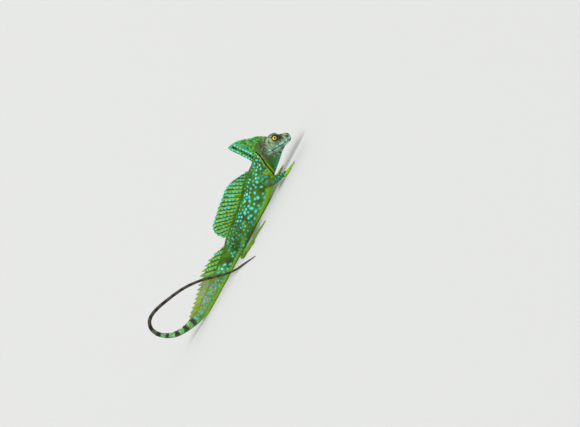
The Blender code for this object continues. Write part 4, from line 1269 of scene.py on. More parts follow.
def blade(name, middle, half, layers):
    """A closed thin fin from a grid of middle points (columns by rows by 3) and half thicknesses."""
    columns, rows = half.shape
    along = np.gradient(middle[:, 0], axis=0)
    across = np.column_stack([-along[:, 1], along[:, 0], np.zeros(columns)])
    across /= np.linalg.norm(across, axis=1, keepdims=True)
    left = middle + across[:, None] * half[..., None]
    right = middle - across[:, None] * half[..., None]
    points = np.concatenate([left.reshape(-1, 3), right.reshape(-1, 3)])
    index = np.arange(columns * rows).reshape(columns, rows)
    p, q, r, s = index[:-1, :-1], index[1:, :-1], index[1:, 1:], index[:-1, 1:]
    sheet = np.stack([p, q, r, s], axis=-1).reshape(-1, 4)
    rim = np.concatenate([index[:, 0], index[-1, 1:], index[-2::-1, -1], index[0, -2:0:-1]])
    after = np.roll(rim, -1)
    count = columns * rows
    wall = np.column_stack([rim, after, after + count, rim + count])
    faces = np.concatenate([sheet, sheet[:, ::-1] + count, wall])
    mesh = bpy.data.meshes.new(name)
    mesh.from_pydata(points.tolist(), [], faces.tolist())
    outward(mesh)
    both_faces = {key: np.concatenate([v.reshape(-1, v.shape[-1])] * 2) for key, v in layers.items()}
    colour_layers(mesh, both_faces)
    mesh.shade_smooth()
    grid = {"points": points, "normals": normals_of(mesh)}
    grid = {key: values.reshape(2, columns, rows, 3) for key, values in grid.items()}
    grid.update({"middle": middle, "layers": layers})
    return mesh, grid


def key_column(keys, share, column):
    rows = smooth(keys, 6)
    return np.interp(share, rows[:, 0], rows[:, column])


def ray_fin(front, back, rays, keys, notch, rows, seed, spiky):
    """A crest along the back: raking rays with beads of scales on them and a thin web between."""
    pitch = (back - front) / (rays - 1)
    steps = np.arange(-0.3 * PER_RAY, (rays - 1 + 0.3) * PER_RAY + 0.5) / PER_RAY
    x = front + pitch * steps
    share = np.clip((x - front) / (back - front), 0, 1)
    nearest = np.round(steps)
    phase = steps - nearest
    length = key_column(keys, share, 1)
    rake = np.radians(key_column(keys, share, 2))
    off = np.abs(2 * phase)
    tip = notch + (1 - notch) * (1 - off) ** (0.9 if spiky else 0.6)
    tip = tip * (0.975 + 0.03 * fraction(nearest, 1, seed)) - 0.008 * np.abs(np.sin(phase * math.pi * 5))
    lean = np.column_stack([-np.sin(rake), np.zeros_like(rake), np.cos(rake)])
    base = np.column_stack([x, np.zeros_like(x), back_height(x) - COAT - 1.4])
    share_up = np.linspace(0, 1, rows) ** 0.92
    reach = (length * tip + 1.6)[:, None] * share_up[None]
    middle = base[:, None] + lean[:, None] * reach[..., None]
    middle[..., 1] = sway(middle[..., 0])
    up = np.clip((reach - 1.4) / (length * tip)[:, None], 0, 1)
    far = np.abs(phase * pitch)[:, None]
    web = WEB_ROOT + (WEB_EDGE - WEB_ROOT) * up
    ray = RAY_ROOT + (RAY_EDGE - RAY_ROOT) * up
    beads = 1 + 0.16 * np.cos(reach * TURN / 1.9)
    half = web + (ray - web) * np.exp(-((far / RAY_WIDTH) ** 2)) * beads
    strand = np.floor(phase * abs(pitch) / 1.0 + 0.5)[:, None]
    grain = np.cos(far * TURN) * np.cos(reach * TURN / 2.1 + strand * math.pi)
    half = half + 0.06 * grain * (1 - 0.4 * up)
    half = half + 0.9 * np.exp(-reach / 1.9)
    half[:, -1] *= 0.55
    return middle, half, steps, phase, nearest, reach, up, length


def lane_ovals(fin, start, end, length, seed, share, half_u=0.38, half_v=0.42):
    """Ovals along a lane between two rays, from start to end of the way between them."""
    _, _, _, phase, nearest, reach, _, _ = fin
    place_in = (phase - start) / (end - start)
    shift = fraction(nearest, 3, seed)[:, None]
    u = reach / length + shift
    v = (nearest * 2 + np.clip(place_in, 0.001, 0.999))[:, None] + 0 * reach
    return ovals(u, v, seed, share, half_u, half_v) * ((place_in > 0) & (place_in < 1))[:, None]


def crest_layers(stripes, extras):
    """The colour layers of a crest: cyan, black, lime and dark line; foot, height, cell and tail."""
    parts = {"stripes": stripes, "extras": extras}
    return {name: np.stack(np.broadcast_arrays(*values), axis=-1) for name, values in parts.items()}


def make_sail():
    """The crest of the back, with its web's colours: stripes along the rays, dashes and black slits."""
    fin = ray_fin(SAIL_FRONT, SAIL_BACK, SAIL_RAYS, SAIL_KEYS, SAIL_NOTCH, 62, 2, False)
    middle, half, steps, phase, nearest, reach, up, length = fin
    phase, row = phase[:, None], nearest[:, None]
    warp = 0.05 * wobble(middle.reshape(-1, 3), 11, 3).reshape(reach.shape)
    bright = lane_ovals(fin, 0.10, 0.48, 5.6, 5, 0.94, 0.42, 0.46)
    second = lane_ovals(fin, -0.30, -0.06, 4.6, 8, 0.62, 0.4, 0.44)
    rim_at = length[:, None] * (1 - up)
    rim = (1 - ramp(rim_at, 1.0, 2.2)) * (0.35 + 0.65 * fraction(row, 7, 3))
    cyan = np.clip(bright * ramp(up, 0.05, 0.15) + 0.9 * second * ramp(up, 0.2, 0.4) + rim, 0, 1)
    dark_line = (1 - ramp(np.abs(phase + 0.36 + warp), 0.04, 0.13)) * ramp(up, 0.1, 0.25) * (1 - rim)
    crowd = np.clip(0.12 + bump(steps, 8.5, 2.2) + bump(steps, 13.2, 2.0), 0, 1)[:, None]
    black = lane_ovals(fin, -0.50, -0.14, 9.5, 14, 0.75, 0.45, 0.46) * ramp(up, 0.2, 0.35) * crowd
    front = ramp(steps, -0.3, 0.2) * (1 - ramp(steps, 1.6, 2.9))
    patch = ovals(reach / 3.4, (steps[:, None] + 0 * reach) * 1.6, 21, 0.8, 0.42, 0.46) * ramp(up, 0.2, 0.4)
    black = np.clip(black + front[:, None] * patch * (1 - rim), 0, 1)
    lime = (1 - ramp(np.abs(phase + warp), 0.10, 0.25)) * ramp(up, 0.0, 0.12)
    foot = 1 - ramp(reach, 2.5, 7.0)
    cell = fraction(row, np.floor(reach / 2.1), 4)
    layers = crest_layers((cyan, black, lime, dark_line), (foot, up, cell, 0 * up))
    return (*blade("dorsal_crest_skin", middle, half, layers), fin)


def make_fringe():
    """The toothed crest of the tail, coloured like the sail in front and yellow and lilac behind."""
    fin = ray_fin(FRINGE_FRONT, FRINGE_BACK, FRINGE_RAYS, FRINGE_KEYS, FRINGE_NOTCH, 46, 9, True)
    middle, half, steps, phase, nearest, reach, up, length = fin
    phase, row = phase[:, None], nearest[:, None]
    behind = ramp(steps, 4.5, 7.5)[:, None]
    bright = lane_ovals(fin, 0.10, 0.46, 4.6, 31, 0.9, 0.42, 0.46)
    rim = (1 - ramp(length[:, None] * (1 - up), 0.8, 1.8)) * (1 - behind)
    rim = rim * (0.4 + 0.6 * fraction(row, 5, 8))
    cyan = np.clip(bright * ramp(up, 0.04, 0.15) * (1 - 0.75 * behind) + rim, 0, 1)
    dark_line = (1 - ramp(np.abs(phase + 0.36), 0.04, 0.13)) * ramp(up, 0.08, 0.25) * (1 - 0.55 * behind)
    black = lane_ovals(fin, -0.46, -0.14, 7.0, 44, 0.25, 0.42, 0.46) * (1 - behind)
    lime = (1 - ramp(np.abs(phase), 0.12, 0.26)) * ramp(up, 0.0, 0.12)
    foot = 1 - ramp(reach, 2.0, 6.0)
    cell = fraction(row, np.floor(reach / 2.1), 4)
    layers = crest_layers((cyan, black, lime, dark_line), (foot, up, cell, behind))
    return (*blade("tail_crest_skin", middle, half, layers), fin)


def make_head_blade():
    """The head's crest, a blade with faint ribs and rows of small scales."""
    columns = smooth(HEAD_CREST_KEYS, 18)
    rows = 46
    root, edge = columns[:, :2], columns[:, 2:]
    span = np.linalg.norm(edge - root, axis=1)
    root = root - (edge - root) / span[:, None] * 0.8
    around = way_along(edge)
    corner = around[int(np.argmin(edge[:, 0]))]
    teeth = 1 - 0.45 * np.abs(np.sin(around * math.pi / 2.4)) ** 0.7 / span
    up = np.linspace(0, 1, rows)
    flat = root[:, None] + (edge - root)[:, None] * (up[None] * teeth[:, None])[..., None]
    local = np.stack([flat[..., 0], np.zeros_like(flat[..., 0]), flat[..., 1]], axis=-1).reshape(-1, 3)
    middle = head_to_body(local).reshape(len(columns), rows, 3)
    reach = span[:, None] * up[None]
    ring = around[:, None] + 0 * reach
    rib = np.cos(ring * TURN / 7.5) * np.sin(up * math.pi)[None]
    half = HEAD_CREST_EDGE + (HEAD_CREST_ROOT - HEAD_CREST_EDGE) * (1 - up[None]) ** 0.8 + 0.16 * rib
    lane = np.floor(reach / 1.7)
    beads = 0.06 * np.cos(reach * TURN / 1.7) * np.cos(ring * TURN / 2.0 + lane * math.pi)
    half = half + beads + 0.9 * np.exp(-reach / 1.6)
    half[:, -1] *= 0.6
    from_edge = span[:, None] - reach
    lower = ramp(ring, corner - 1.5, corner + 4)
    warp = 0.25 * wobble(middle.reshape(-1, 3), 9, 61).reshape(ring.shape)
    spots = ovals(ring / 5.2 + warp + 0.5 * np.floor(from_edge / 4.0), from_edge / 4.0, 52, 0.7, 0.36, 0.36)
    spots = spots * (0.25 + 0.75 * ramp(reach, 3, 11))
    big = ovals(ring / 6.4 + warp, from_edge / 5.0 + 0.15, 63, 0.9, 0.42, 0.38)
    big = big * (1 - ramp(from_edge, 12, 18))
    rim = ovals(ring / 5.2, from_edge / 2.0, 71, 0.8, 0.42, 0.42) * (from_edge < 2.0)
    rim = rim * ramp(ring, 0.15 * corner, 0.7 * corner)
    cyan = np.clip(np.where(lower > 0.5, np.maximum(big, spots), 0.66 * spots) + 0.8 * rim, 0, 1)
    peak, heel = np.array(HEAD_CREST_KEYS[9][2:]), np.array(HEAD_CREST_KEYS[-1][2:])
    down = (heel - peak) / np.linalg.norm(heel - peak)
    slid, inside = (flat - peak) @ down, (flat - peak) @ (-down[1], down[0]) + 1
    near_rim = (inside < 10.5) & (slid > 2)
    squares = ovals(slid / 4.8, inside / 3.5, 85, 1.0, 0.46, 0.46) * near_rim
    dark = (np.floor(inside / 3.5) == 1) & (fraction(np.floor(slid / 4.8), 1, 6) < 0.8)
    cyan = np.where(near_rim, squares * ~dark, cyan)
    flecks = 0.7 * ovals(ring / 6.4, from_edge / 4.6 + 0.5, 88, 0.3, 0.3, 0.3) * (1 - cyan)
    black = np.maximum(squares * dark, flecks)
    lime = ovals(ring / 3.4 + 0.3, from_edge / 2.4 + 0.4, 97, 0.6, 0.42, 0.36) * (1 - lower) * 0.75
    cell = fraction(lane, np.floor(ring / 2.0), 3)
    foot, none = 1 - ramp(reach, 1.0, 5.0), 0 * reach
    layers = crest_layers((cyan, black, lime, none), (foot, up[None], cell, none))
    return blade("head_crest_skin", middle, half, layers)


def grid_places(grid, faces, columns, rows):
    """Places for scales on a blade, at fractional rows of whole columns of either face."""
    low = np.clip(np.floor(rows).astype(int), 0, grid["middle"].shape[1] - 2)
    share = (rows - low)[:, None]

    def between(values, *face):
        return values[(*face, columns, low)] * (1 - share) + values[(*face, columns, low + 1)] * share

    normal = between(grid["normals"], faces)
    lie = grid["middle"][columns, low + 1] - grid["middle"][columns, low]
    places = {"point": between(grid["points"], faces), "outward": normal}
    places["lie"] = laid_on(lie, normal)
    size = grid["middle"].shape
    across = 0.02 + 0.96 * columns / size[0]
    places["uv"] = np.column_stack([across, 0.02 + 0.46 * rows / size[1] + 0.5 * faces, 0 * across])
    return places, {key: between(values) for key, values in grid["layers"].items()}


def fin_scales(grid, fin, pitch, length, skip):
    """Rows of scales up both faces of a rayed crest, one row on each ray and three between."""
    _, _, _, phase, _, reach, _, _ = fin
    faces, columns, rows, extents = [], [], [], []
    width = pitch / LANES
    step = PER_RAY // LANES
    start = int(round(0.3 * PER_RAY)) % step
    for column in range(start, reach.shape[0], step):
        odd = (column - start) // step % 2
        on_ray = abs(phase[column]) < 0.1
        extent = (length * 1.2, width * (1.15 if on_ray else 1.02), 0.30 if on_ray else 0.2)
        at = np.arange(1.6 + 0.5 * length * odd, reach[column, -1] - 0.5 * length - skip, length)
        for face in (0, 1):
            faces += [face] * len(at)
            columns += [column] * len(at)
            rows += list(np.interp(at, reach[column], np.arange(reach.shape[1])))
            extents += [extent] * len(at)
    places, layers = grid_places(grid, np.array(faces), np.array(columns), np.array(rows))
    places["extent"] = np.array(extents)
    return places, layers


def blade_scales(grid, size, seed):
    """Small scales spread over both faces of the head's crest."""
    rng = np.random.default_rng(seed)
    shape = grid["middle"].shape
    side = np.linalg.norm(np.diff(grid["middle"], axis=0), axis=2)[:, :-1]
    tall = np.linalg.norm(np.diff(grid["middle"], axis=1), axis=2)[:-1]
    area = (side * tall).ravel()
    found = []
    for face in (0, 1):
        pick = rng.choice(len(area), 16000, p=area / area.sum())
        columns, rows = pick // (shape[1] - 1), pick % (shape[1] - 1) + rng.uniform(0, 1, len(pick))
        inside = rows < shape[1] - 2.5
        columns, rows = columns[inside], rows[inside]
        places, layers = grid_places(grid, np.full(len(rows), face), columns, rows)
        kept = thinned(places["point"], np.full(len(rows), size * 0.82), seed + face)
        places["extent"] = np.tile((size * 1.35, size * 1.02, 0.2), (len(rows), 1))
        found.append(({k: v[kept] for k, v in places.items()}, {k: v[kept] for k, v in layers.items()}))
    return tuple({k: np.concatenate([f[i][k] for f in found]) for k in found[0][i]} for i in (0, 1))


def crest_finish():
    """The finish of all three crests and of their scales."""
    finish = Finish("crest", roughness=0.48, coat=0.05, coat_roughness=0.3, specular=0.22)
    blend, over = finish.blend, finish.over
    cyan, black, lime, line = finish.layer("stripes")
    foot, _, cell, tail = finish.layer("extras")
    fine = finish.noise(2.0, 3.0, 0.35, 0.65)
    colour = over(blend(CREST_WEB, CREST_DEEP, fine), CREST_LIME, lime, 0.9)
    tail_tone = blend(TAIL_YELLOW, TAIL_LILAC, finish.noise(8, 2.0, 0.5, 0.62))
    colour = over(colour, tail_tone, tail, 0.75)
    colour = over(colour, CREST_LINE, line, 0.75)
    colour = blend(colour, CREST_CYAN, cyan)
    colour = blend(colour, SPOT_CORE, finish.ranged(cyan, 0.8, 1.0, 0.0, 0.45))
    colour = over(colour, BLACK_MARK_AND_SHADE, black, 0.92)
    colour = over(colour, GREEN_DEEP, foot, 0.55)
    colour = blend(colour, CREST_SHADE, finish.ranged(cell, 0.55, 1.0, 0.0, 0.3))
    finish.relief(fine, 0.3, 0.3)
    return finish.paint(colour)


# Of the iris and the pupil, in degrees from the gaze
IRIS_EDGE, PUPIL_EDGE = 38.0, 17.0


def make_eye(hand):
    """One eyeball, with the angle from its gaze kept in a layer."""
    mesh = ball_mesh((0, 0, 0), (1, 1, 1), 96, 72)
    points = vertex_array(mesh) - head_to_body(np.zeros((1, 3)))
    axis = Vector(gaze(hand))
    local = body_to_head(points + MOUTH_CORNER)
    turn = np.array(Vector(UP).rotation_difference(axis).to_matrix())
    turned = local @ turn.T
    cosine = np.clip(turned @ np.array(axis), -1, 1)
    polar = np.degrees(np.arccos(cosine))
    side = np.cross(np.array(axis), (0.0, 0.0, 1.0))
    spin = np.arctan2(turned @ np.cross(side, np.array(axis)), turned @ side)
    swell = EYE_RADIUS + 0.25 * (1 - ramp(polar, 20, 42)) - 0.05
    set_vertices(mesh, head_to_body(EYE_AT * (1, hand, 1) + turned * swell[:, None]))
    outward(mesh)
    iris = np.column_stack([polar / 90, np.cos(spin) * 0.5 + 0.5, np.sin(spin) * 0.5 + 0.5, 0 * polar])
    colour_layers(mesh, {"iris": iris})
    mesh.shade_smooth()
    return place(mesh)


def eye_finish():
    """A golden iris round a dark pupil, by the angle from the gaze as a share of a right angle."""
    finish = Finish("eye_gloss", roughness=0.12, coat=0.6, coat_roughness=0.02, specular=0.1)
    polar = finish.layer("iris")[0]
    iris, pupil = IRIS_EDGE / 90, PUPIL_EDGE / 90
    colour = finish.blend(IRIS_GOLD, IRIS_AMBER, finish.noise(0.7, 3.0, 0.35, 0.65))
    colour = finish.blend(colour, IRIS_BRIGHT, finish.ranged(polar, 0.30, 0.17, 0.0, 0.8))
    colour = finish.blend(colour, PUPIL_BLACK, finish.ranged(polar, pupil + 0.012, pupil - 0.012))
    colour = finish.blend(colour, EYE_RIM, finish.ranged(polar, iris - 0.03, iris + 0.02))
    return finish.paint(colour)


def plain_finish(name, colour, roughness):
    finish = Finish(name, roughness)
    finish.shader.inputs["Base Color"].default_value = linear(colour)
    return finish.material


# Camera and lights, in metres
CAMERA_RISE = 9.0
CAMERA_ROLL = 61.5
CAMERA_FAR = 5.0
VIEW_WIDTH = 0.894
AIM = np.array((99.9, 0.0, -37.5))  # in the body's frame
SENSOR = 36.0
# Name, direction it comes from, spread in degrees, power
LAMPS = (
    ("key", (-0.55, -1.0, 1.25), 28, 2.3),
    ("fill", (1.3, -0.8, 0.8), 50, 0.8),
    ("back", (-0.2, 1.4, 1.1), 50, 0.7),
)


def make_stage():
    bpy.ops.mesh.primitive_plane_add(size=60, location=(0, 0, 0))
    floor = bpy.context.object
    floor.name = "floor"
    floor.data.materials.append(plain_finish("floor_paper", FLOOR_PAPER, 0.8))
    world = bpy.data.worlds.new("studio")
    bpy.context.scene.world = world
    world.use_nodes = True
    sky = world.node_tree.nodes["Background"]
    sky.inputs["Color"].default_value = (0.92, 0.95, 1.0, 1.0)
    sky.inputs["Strength"].default_value = 0.5
    for name, spot, spread, power in LAMPS:
        data = bpy.data.lights.new(name, "SUN")
        data.angle = math.radians(spread)
        data.energy = power
        lamp = new_object(name, data)
        lamp.location = spot
        lamp.rotation_mode = "QUATERNION"
        lamp.rotation_quaternion = (-Vector(spot)).to_track_quat("-Z", "Y")
    bpy.context.scene.view_settings.view_transform = "Standard"


def make_camera():
    data = bpy.data.cameras.new("camera")
    camera = new_object("camera", data)
    bpy.context.scene.camera = camera
    rise = math.radians(CAMERA_RISE)
    back = Vector((0, -math.cos(rise), math.sin(rise)))
    aim = Vector((AIM + SHIFT) * MM)
    camera.location = aim + back * CAMERA_FAR
    camera.rotation_mode = "QUATERNION"
    roll = Quaternion((0, 0, 1), math.radians(-CAMERA_ROLL))
    camera.rotation_quaternion = (-back).to_track_quat("-Z", "Y") @ roll
    data.sensor_width = SENSOR
    data.lens = SENSOR * CAMERA_FAR / VIEW_WIDTH
    data.clip_end = 100


# Scales: size along the body and size round it, in millimetres, at points along each part
TRUNK_SCALES = (
    (-330.0, 1.7, 1.1), (-180.0, 1.9, 1.3), (-110.0, 2.2, 1.7), (-40.0, 2.3, 1.9),
    (30.0, 1.85, 1.7), (90.0, 1.75, 1.6), (140.0, 1.5, 1.4), (175.0, 1.4, 1.3),
)
LIMB_SCALE, PAW_SCALE, DIGIT_SCALE = 1.6, 1.15, 1.05
MOST_SCALES = 8000  # in one piece


class Roots:
    """Places for scales: points, outward normals, lie directions and sizes (length, width, height)."""

    def __init__(self):
        self.rows = []

    def add(self, points, lies, lengths, widths, heights):
        lengths, widths, heights = (np.broadcast_to(v, len(points)) for v in (lengths, widths, heights))
        self.rows.append(np.column_stack([points, lies, lengths, widths, heights]))

    def merged(self):
        return np.concatenate(self.rows)


def ring_roots(roots, tube, start, end, sizes, seed, tall=0.16):
    """Staggered rings of scales round a tube. sizes(arc) gives length and width."""
    rng = np.random.default_rng(seed)
    arc, odd = start, 0
    dense = np.linspace(0, TURN, 181)
    while arc < end:
        length, width = sizes(arc)
        index = tube.at(arc)
        share = arc - tube.arc[index]
        ring = tube.ring(index, dense) + tube.forward[index] * share
        around = way_along(ring)
        count = max(5, round(around[-1] / width))
        at = (np.arange(count) + 0.5 * odd + rng.uniform(-0.08, 0.08, count)) / count % 1.0 * around[-1]
        points = np.column_stack([np.interp(at, around, ring[:, k]) for k in range(3)])
        points += tube.forward[index] * rng.uniform(-0.1, 0.1, count)[:, None] * length
        lies = np.repeat(tube.forward[index][None], count, axis=0)
        roots.add(points, lies, length * 1.3, width * 1.04, tall * width)
        arc += length * 0.78
        odd = 1 - odd


def trunk_sizes(arc):
    keys = np.array(TRUNK_SCALES)
    ahead = VENT_ARC - arc
    return float(np.interp(ahead, keys[:, 0], keys[:, 1])), float(np.interp(ahead, keys[:, 0], keys[:, 2]))


def thinned(points, spacing, seed):
    """Indices of points so chosen that none lies closer to another than its own spacing."""
    cell = float(spacing.min())
    keys = np.floor(points / cell).astype(int)
    grid, kept = {}, []
    for i in np.random.default_rng(seed).permutation(len(points)):
        own = max(1, int(math.ceil(spacing[i] / cell)))
        cells = itertools.product(*(range(k - own, k + own + 1) for k in keys[i]))
        near = (j for key in cells for j in grid.get(key, ()))
        if all(np.sum((points[i] - points[j]) ** 2) >= spacing[i] * spacing[i] for j in near):
            grid.setdefault(tuple(keys[i]), []).append(i)
            kept.append(i)
    return np.array(kept)


def spread_over(points, faces, count, rng):
    """Random places over triangles: the triangle of each, the weights of its corners, and the place."""
    corners = points[faces]
    area = np.linalg.norm(np.cross(corners[:, 1] - corners[:, 0], corners[:, 2] - corners[:, 0]), axis=1)
    pick = rng.choice(len(faces), count, p=area / area.sum())
    weights = rng.dirichlet((1, 1, 1), count)[..., None]
    return pick, weights, (corners[pick] * weights).sum(axis=1)


def head_sizes(local):
    """Scale width over the head: plates on the snout, small on lids and throat."""
    a, _, n = local.T
    size = 1.45 + 0.5 * ramp(a, 28, 36) * ramp(n, 3, 7)
    size = size - 0.35 * bump(a, 8, 9) * ramp(n, 8, 12)
    size = np.where(n < -5, 1.35 + 0.2 * ramp(-n, 12, 25), size)
    eye = np.minimum(*(np.linalg.norm(local - EYE_AT * (1, h, 1), axis=1) for h in (1, -1)))
    return size - 0.6 * (1 - ramp(eye, 6.2, 8.6))


# Rows of plates along the lips: height over the line between them, and spacing
LIP_ROWS = ((1.75, 3.0), (-1.7, 3.2))


def head_roots(roots, skin_points, skin_faces, skin_anatomy):
    """Small plates over the head and throat pouch, and rows of larger ones along the lips."""
    rng = np.random.default_rng(31)
    own = np.isin(skin_anatomy.part, (1, 2))
    faces = skin_faces[own[skin_faces].all(axis=1)]
    points = spread_over(skin_points, faces, 60000, rng)[2]
    local = body_to_head(points)
    a, across, n = local.T
    off = n - mouth_height(a)
    lips = (a > 0.5) & (np.abs(off) < 2.7)
    gape = (a > -1.5) & (np.abs(off) < 0.55)
    nostril = oval_reach(a, n, NOSTRIL_AT, 1.6, 1.3) < 1
    ear = (oval_reach(a, n, EAR_AT, 2.5, 3.2) < 1) & (np.abs(across) > 6)
    crest_foot = (np.abs(across) < 1.3) & (a < 14) & (n > 8)
    eye = np.zeros(len(points), bool)
    for hand in (1, -1):
        _, reach, polar = from_gaze(local, hand)
        eye |= (reach < 8) & (polar < LID_OPENING * 1.12 + 0.07)
    free = ~(lips | gape | nostril | ear | crest_foot | eye)
    points, local = points[free], local[free]
    size = head_sizes(local)
    kept = thinned(points, size * 0.80, 7)
    points, size, local = points[kept], size[kept], local[kept]
    back = head_to_body(np.array([[-1.0, 0, 0]]))[0] - MOUTH_CORNER
    tall = np.where(local[:, 2] < -4, 0.16, 0.20) * size
    roots.add(points, np.repeat(back[None], len(points), axis=0), size * 1.2, size * 1.12, tall)
    sections = head_sections(0)

    def on_lip(along, height, hand):
        width = np.interp(along, sections[:, 0], sections[:, 2])
        return head_to_body(np.column_stack([along, hand * width, mouth_height(along) + height]))

    for (height, step), hand in itertools.product(LIP_ROWS, (1, -1)):
        along = np.arange(2.0, MOUTH_FRONT + 1.0, step)
        along = along + 0.1 * rng.normal(size=len(along))
        places = on_lip(along, height, hand)
        lie = places - on_lip(along + 0.5, height, hand)
        lie /= np.linalg.norm(lie, axis=1, keepdims=True)
        roots.add(places, lie, step * 1.1, 2.3, 0.36)


# Bare lengths of the midline: first and last place, first and last height of the scales
RIDGES = (
    (SAIL_FRONT + 16, SAIL_FRONT + 1, 0.7, 1.5),
    (SAIL_BACK - 1, FRINGE_FRONT, 1.5, 1.3),
    (FRINGE_BACK + 1, -150, 1.6, 0.6),
)


def ridge_roots(roots):
    """A row of small upright scales along the midline where the back has no crest."""
    for first, last, low, high in RIDGES:
        along = np.arange(first, last, -1.9)
        heights = low + (high - low) * np.linspace(0, 1, len(along))
        for arc, tall in zip(arc_at_x(along), heights):
            index = trunk.at(arc)
            top = trunk.points[index] + trunk.up[index] * (trunk.sizes[index][1] - COAT)
            roots.add(top[None], trunk.forward[index][None], 2.3, 1.1, tall)


def lid_roots(roots):
    """A row of small beads along the rim of each eye's lids."""
    for hand in (1, -1):
        axis = gaze(hand)
        first = np.cross(axis, (0.0, 0.0, 1.0))
        first /= np.linalg.norm(first)
        second = np.cross(first, axis)
        for k in range(30):
            turn = TURN * k / 30
            polar = lid_edge(abs(math.sin(turn))) + math.radians(7.0)
            away = first * math.cos(turn) + second * math.sin(turn)
            at = EYE_AT * (1, hand, 1) + (axis * math.cos(polar) + away * math.sin(polar)) * 5.9
            here, beyond = head_to_body(np.array((at, at + away)))
            roots.add(here[None], (beyond - here)[None], 0.85, 0.72, 0.24)


def template(name, mesh, spread):
    """An unseen object for copying. patch spreads its points over its own bit of the unwrap."""
    mesh.shade_smooth()
    vector_layer(mesh, "patch", vertex_array(mesh) * (spread, spread, 0))
    made = new_object(name, mesh)
    made.hide_render = True
    return made


def scale_template():
    """One scale, lying along +X on its point: a low keeled leaf of 24 triangles, unit sizes."""
    rim = [(-0.5, 0.0, -0.55), (-0.18, 0.46, -0.5), (0.24, 0.42, -0.4), (0.56, 0.0, -0.15)]
    rim += [(0.24, -0.42, -0.4), (-0.18, -0.46, -0.5)]
    top = [(-0.36, 0.0, 0.25), (-0.13, 0.33, 0.42), (0.2, 0.3, 0.6), (0.46, 0.0, 0.8)]
    top += [(0.2, -0.3, 0.6), (-0.13, -0.33, 0.42)]
    keel = [(-0.2, 0.0, 0.8), (0.26, 0.0, 1.25)]
    points = rim + top + keel
    faces = [(k, (k + 1) % 6, 6 + (k + 1) % 6, 6 + k) for k in range(6)]
    faces += [(6, 7, 12), (6, 12, 11), (7, 8, 13, 12), (8, 9, 13), (9, 10, 13), (10, 11, 12, 13)]
    faces.append(tuple(range(5, -1, -1)))
    mesh = bpy.data.meshes.new("scale_leaf")
    mesh.from_pydata(points, [], faces)
    outward(mesh)
    return template("scale_leaf", mesh, 1.0)


def claw_template():
    """A hooked claw along +X from inside the toe's tip, of unit length, width and drop."""
    loops = []
    angles = angles_of(8)
    for share in np.linspace(0, 1, 8):
        half = 0.5 * (1 - share**1.6) + 0.03
        height = 0.75 * half * np.sin(angles) + 0.35 * math.sin(share * 1.9) - 1.1 * share**2.2
        loops.append(np.column_stack([np.full(8, -0.3 + 1.3 * share), half * np.cos(angles), height]))
    return template("claw_hook", quads_mesh("claw_hook", loops), 0.7)


def make_claws():
    """A claw on the tip of every finger and toe."""
    finish = plain_finish("claw_horn", CLAW_HORN, 0.32)
    hook = claw_template()
    points, lies, extents = [], [], []
    for tube in digits:
        ahead = tube.forward[-1] * (1, 1, 0)
        ahead /= np.linalg.norm(ahead)
        size = float(tube.sizes[-1][0])
        points.append(tube.points[-1] + ahead * 0.1 + (0, 0, 0.12))
        lies.append(ahead)
        extents.append((CLAW_LENGTH * 0.85, size * 1.3, size * 0.95))
    count = len(points)
    places = {"point": np.array(points), "outward": np.tile(UP, (count, 1)), "lie": np.array(lies)}
    places["extent"] = np.array(extents)
    places["uv"] = np.column_stack([np.arange(count) / count + 0.02, np.full(count, 0.5), np.zeros(count)])
    mesh = scattered("claws", places, {}, scatter_tree("claws_on_tips", finish), hook, 0.05)
    bpy.data.objects.remove(hook)
    piece("claws", mesh, finish)


PATCH = 0.0028  # width of a scale's own bit of the unwrap
SCATTER_SEED = 3


